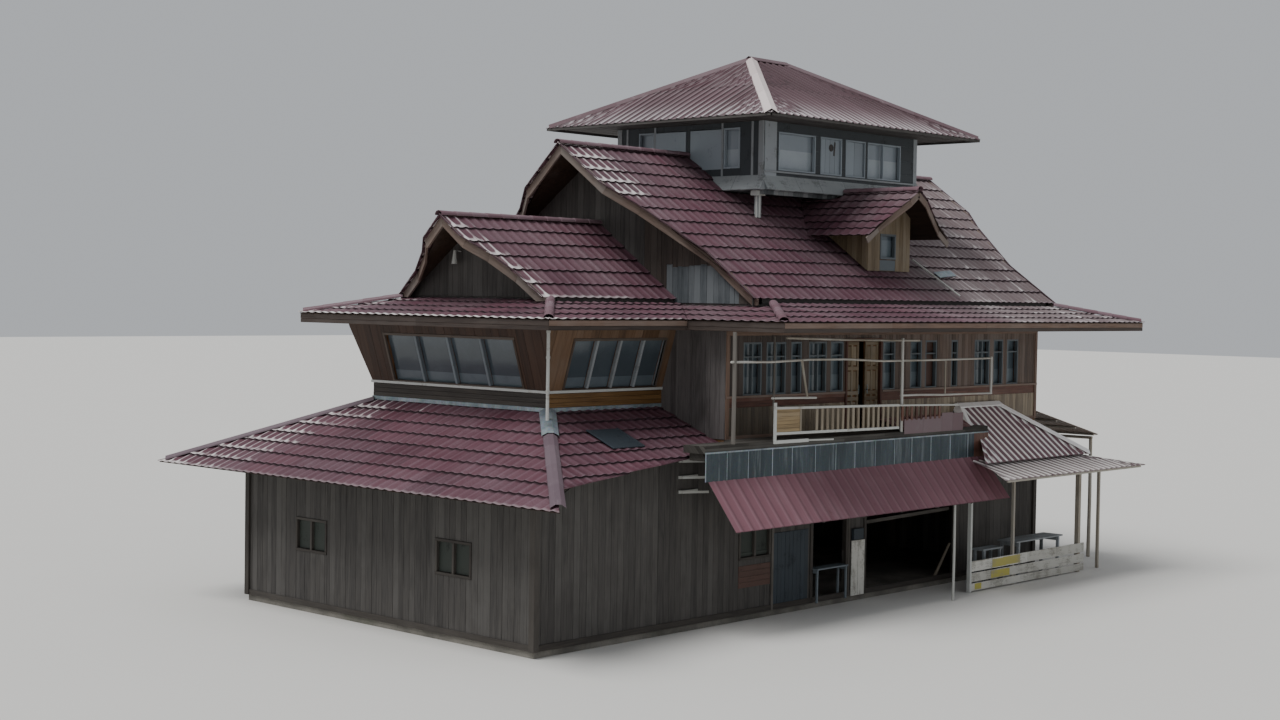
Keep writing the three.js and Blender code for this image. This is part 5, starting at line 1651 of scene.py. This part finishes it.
def makeGroundDetails(facts):
    bottom, margin = facts["bottom"], facts["margin"]
    pale, dull, blue, green, red, white, slats = newBodies(7)
    for a in facts["battens"]:
        addPost(dull, rightWall, a, 0.03, (bottom, 2.0), (0.02, 0.055))
    addBoard(dull, flank(4.2), (9.4, 12.9), (1.66, 1.74), (0.0, 0.05), "a", 0.02)
    addPole(pale, [(4.25, 12.3, 0.135), (4.24, 12.62, 0.5), (4.24, 12.96, 0.9)], 0.04, 8, 0.8)
    for n in range(facts["blueBoards"]):
        a = facts["blueFrom"] + n * facts["bluePitch"]
        addBoard(blue, rightWall, (a, a + facts["blueBoard"]), (facts["skirtingTop"], facts["blueTop"]),
                 (0.018, 0.034 + 0.003 * (n % 2)), "b")
    shuttered = [(rightWall, facts["right"][0])] + [(leftWall, hole) for hole in facts["left"]]
    shuttered += [(facade(facts["y"][0]), hole) for hole in facts["front"]]
    for side, (start, end, foot, head) in shuttered:
        middle = (start + end) / 2
        for a, b in ((start + margin, middle - margin / 2), (middle + margin / 2, end - margin)):
            addBoard(green, side, (a, b), (foot + margin, head - margin), (-0.05, -0.025), "b")
            for z in ((foot + 0.1, head - 0.12) if side in (rightWall, leftWall) else ()):
                addBoard(green, side, (a, b), (z, z + 0.05), (-0.026, -0.01))
    for n in range(facts["redRows"]):
        z = facts["redZ"] + n * 0.115
        addBoard(red, rightWall, facts["right"][0][:2], (z, z + 0.11), (0.018, 0.03))
    for long in facts["whiteBoards"]:
        addBoard(white, rightWall, long, (bottom, 1.34), (0.046, 0.075), "b", dice.uniform(-0.008, 0.008))
    addBoard(blue, rightWall, (8.8, 9.16), (1.36, 1.6), (0.03, 0.1))
    closePiece("pale_battens", pale, "pale")
    closePiece("wall_battens", dull, "dullPole", slot="dark_wood")
    closePiece("blue_boards", blue, "bluePanel")
    closePiece("green_shutters", green, "greenPanel")
    closePiece("red_boards", red, "redPanel")
    closePiece("white_board", white, "parapet", bevel=0.005)
    makeTable("side_bench_boards")
    for z in facts["slatZ"]:
        addBeam(slats, (4.5, 3.1, z), (4.75, 3.6, z), 0.02, 0.05)
        addBoard(slats, rightWall, (3.06, 3.62), (z - 0.03, z + 0.03), (0.02, 0.05))
    closePiece("side_slats", slats, "white", bevel=0.003)


makeGroundWalls(groundStorey)
makeGroundDetails(groundStorey)

# A pole and a plate on the main roof, and a board laid on the low roof
loose = {
    "pole": [(3.39, 12.42, 7.6), (3.95, 12.53, 7.2), (4.58, 12.66, 6.75)],
    "mainSlope": Side((0, 0, 9.94), (0, 1, 0), (-0.8138, 0, 0.5811), (0.5811, 0, 0.8138)),
    "lowEave": (6.17, 0, 2.9394), "lowPitch": 0.4087, "patch": (1.38, 2.23),
}


def makeRoofPole(facts):
    pole, plate, patch = newBodies(3)
    addPole(pole, facts["pole"], 0.022, 8)
    addBoard(plate, facts["mainSlope"], (12.84, 13.66), (-4.72, -4.5), (0.004, 0.02), "a", 0.12)
    closePiece("roof_pole", pole, "white", soften=40)
    closePiece("roof_plate", plate, "flashing", bevel=0.003)
    pitch = facts["lowPitch"]
    slant = math.hypot(1, pitch)
    low = Side(facts["lowEave"], (0, 1, 0), (-1, 0, pitch), (pitch, 0, 1))
    addBoard(patch, low, facts["patch"], (1.91 * slant, 2.64 * slant), (-0.012, 0.012))
    for a in facts["patch"]:
        addBoard(patch, low, (a - 0.02, a + 0.02), (1.9 * slant, 2.65 * slant), (-0.006, 0.02))
    closePiece("low_roof_patch", patch, "bluePanel")


makeRoofPole(loose)
print("ground storey made")

dress("soffit", "eave_soffit")
dress("floor", "upper_floor")
dress("concrete", "ground_slab")
dress("glass", "upper_glass", "dormer_glass")
dress("roomGlass", "front_room_glass")
dress("skyReflectGlass", "lookout_glass")
dress("insideWalls", "upper_right_wall", "upper_left_wall", "upper_back_wall", "balcony_door", "dormer_walls",
      "front_window_wall", "right_window_wall", "left_window_wall")
dress("darkWalls", "upper_front_wall", "front_gable_wall", "front_room_band", "lower_right_wall",
      "lower_left_wall", "lower_front_wall", "lower_back_wall")
dress("greyWalls", "main_gable_front", "main_gable_back", "lookout_walls", "lookout_floor")
dress("deck", "balcony_deck", "balcony_joists")
dress("zinc", "balcony_zinc_strip")

stage = {
    "floorHalf": 200, "floorDrop": 0.004,
    "sky": (0.8, 0.83, 0.87, 1), "skyStrength": 0.6,
    "sunEnergy": 2.6, "sunWidth": 35, "sunTurn": (27, 0, -15),      # degrees
}


def makeStage(facts):
    bm = bmesh.new()
    bmesh.ops.create_grid(bm, x_segments=1, y_segments=1, size=facts["floorHalf"])
    bmesh.ops.translate(bm, verts=bm.verts, vec=(0, 0, -facts["floorDrop"]))
    mesh = bpy.data.meshes.new("studioFloor")
    bm.to_mesh(mesh)
    bm.free()
    f = Finish()
    f.material.name = "paleFloor"
    f.lay(f.noise(f.place, 0.3, 3.0) * 0.15, "c9c7c2", "d9d7d2")
    mesh.materials.append(f.cover(0.9))
    addObject("studioFloor", mesh)
    world = bpy.data.worlds.new("studio")
    bpy.context.scene.world = world
    world.use_nodes = True
    background = world.node_tree.nodes["Background"]
    background.inputs["Color"].default_value = facts["sky"]
    background.inputs["Strength"].default_value = facts["skyStrength"]
    sun = bpy.data.lights.new("softSun", "SUN")
    sun.energy = facts["sunEnergy"]
    sun.angle = math.radians(facts["sunWidth"])
    addObject("softSun", sun).rotation_euler = [math.radians(turn) for turn in facts["sunTurn"]]


makeStage(stage)
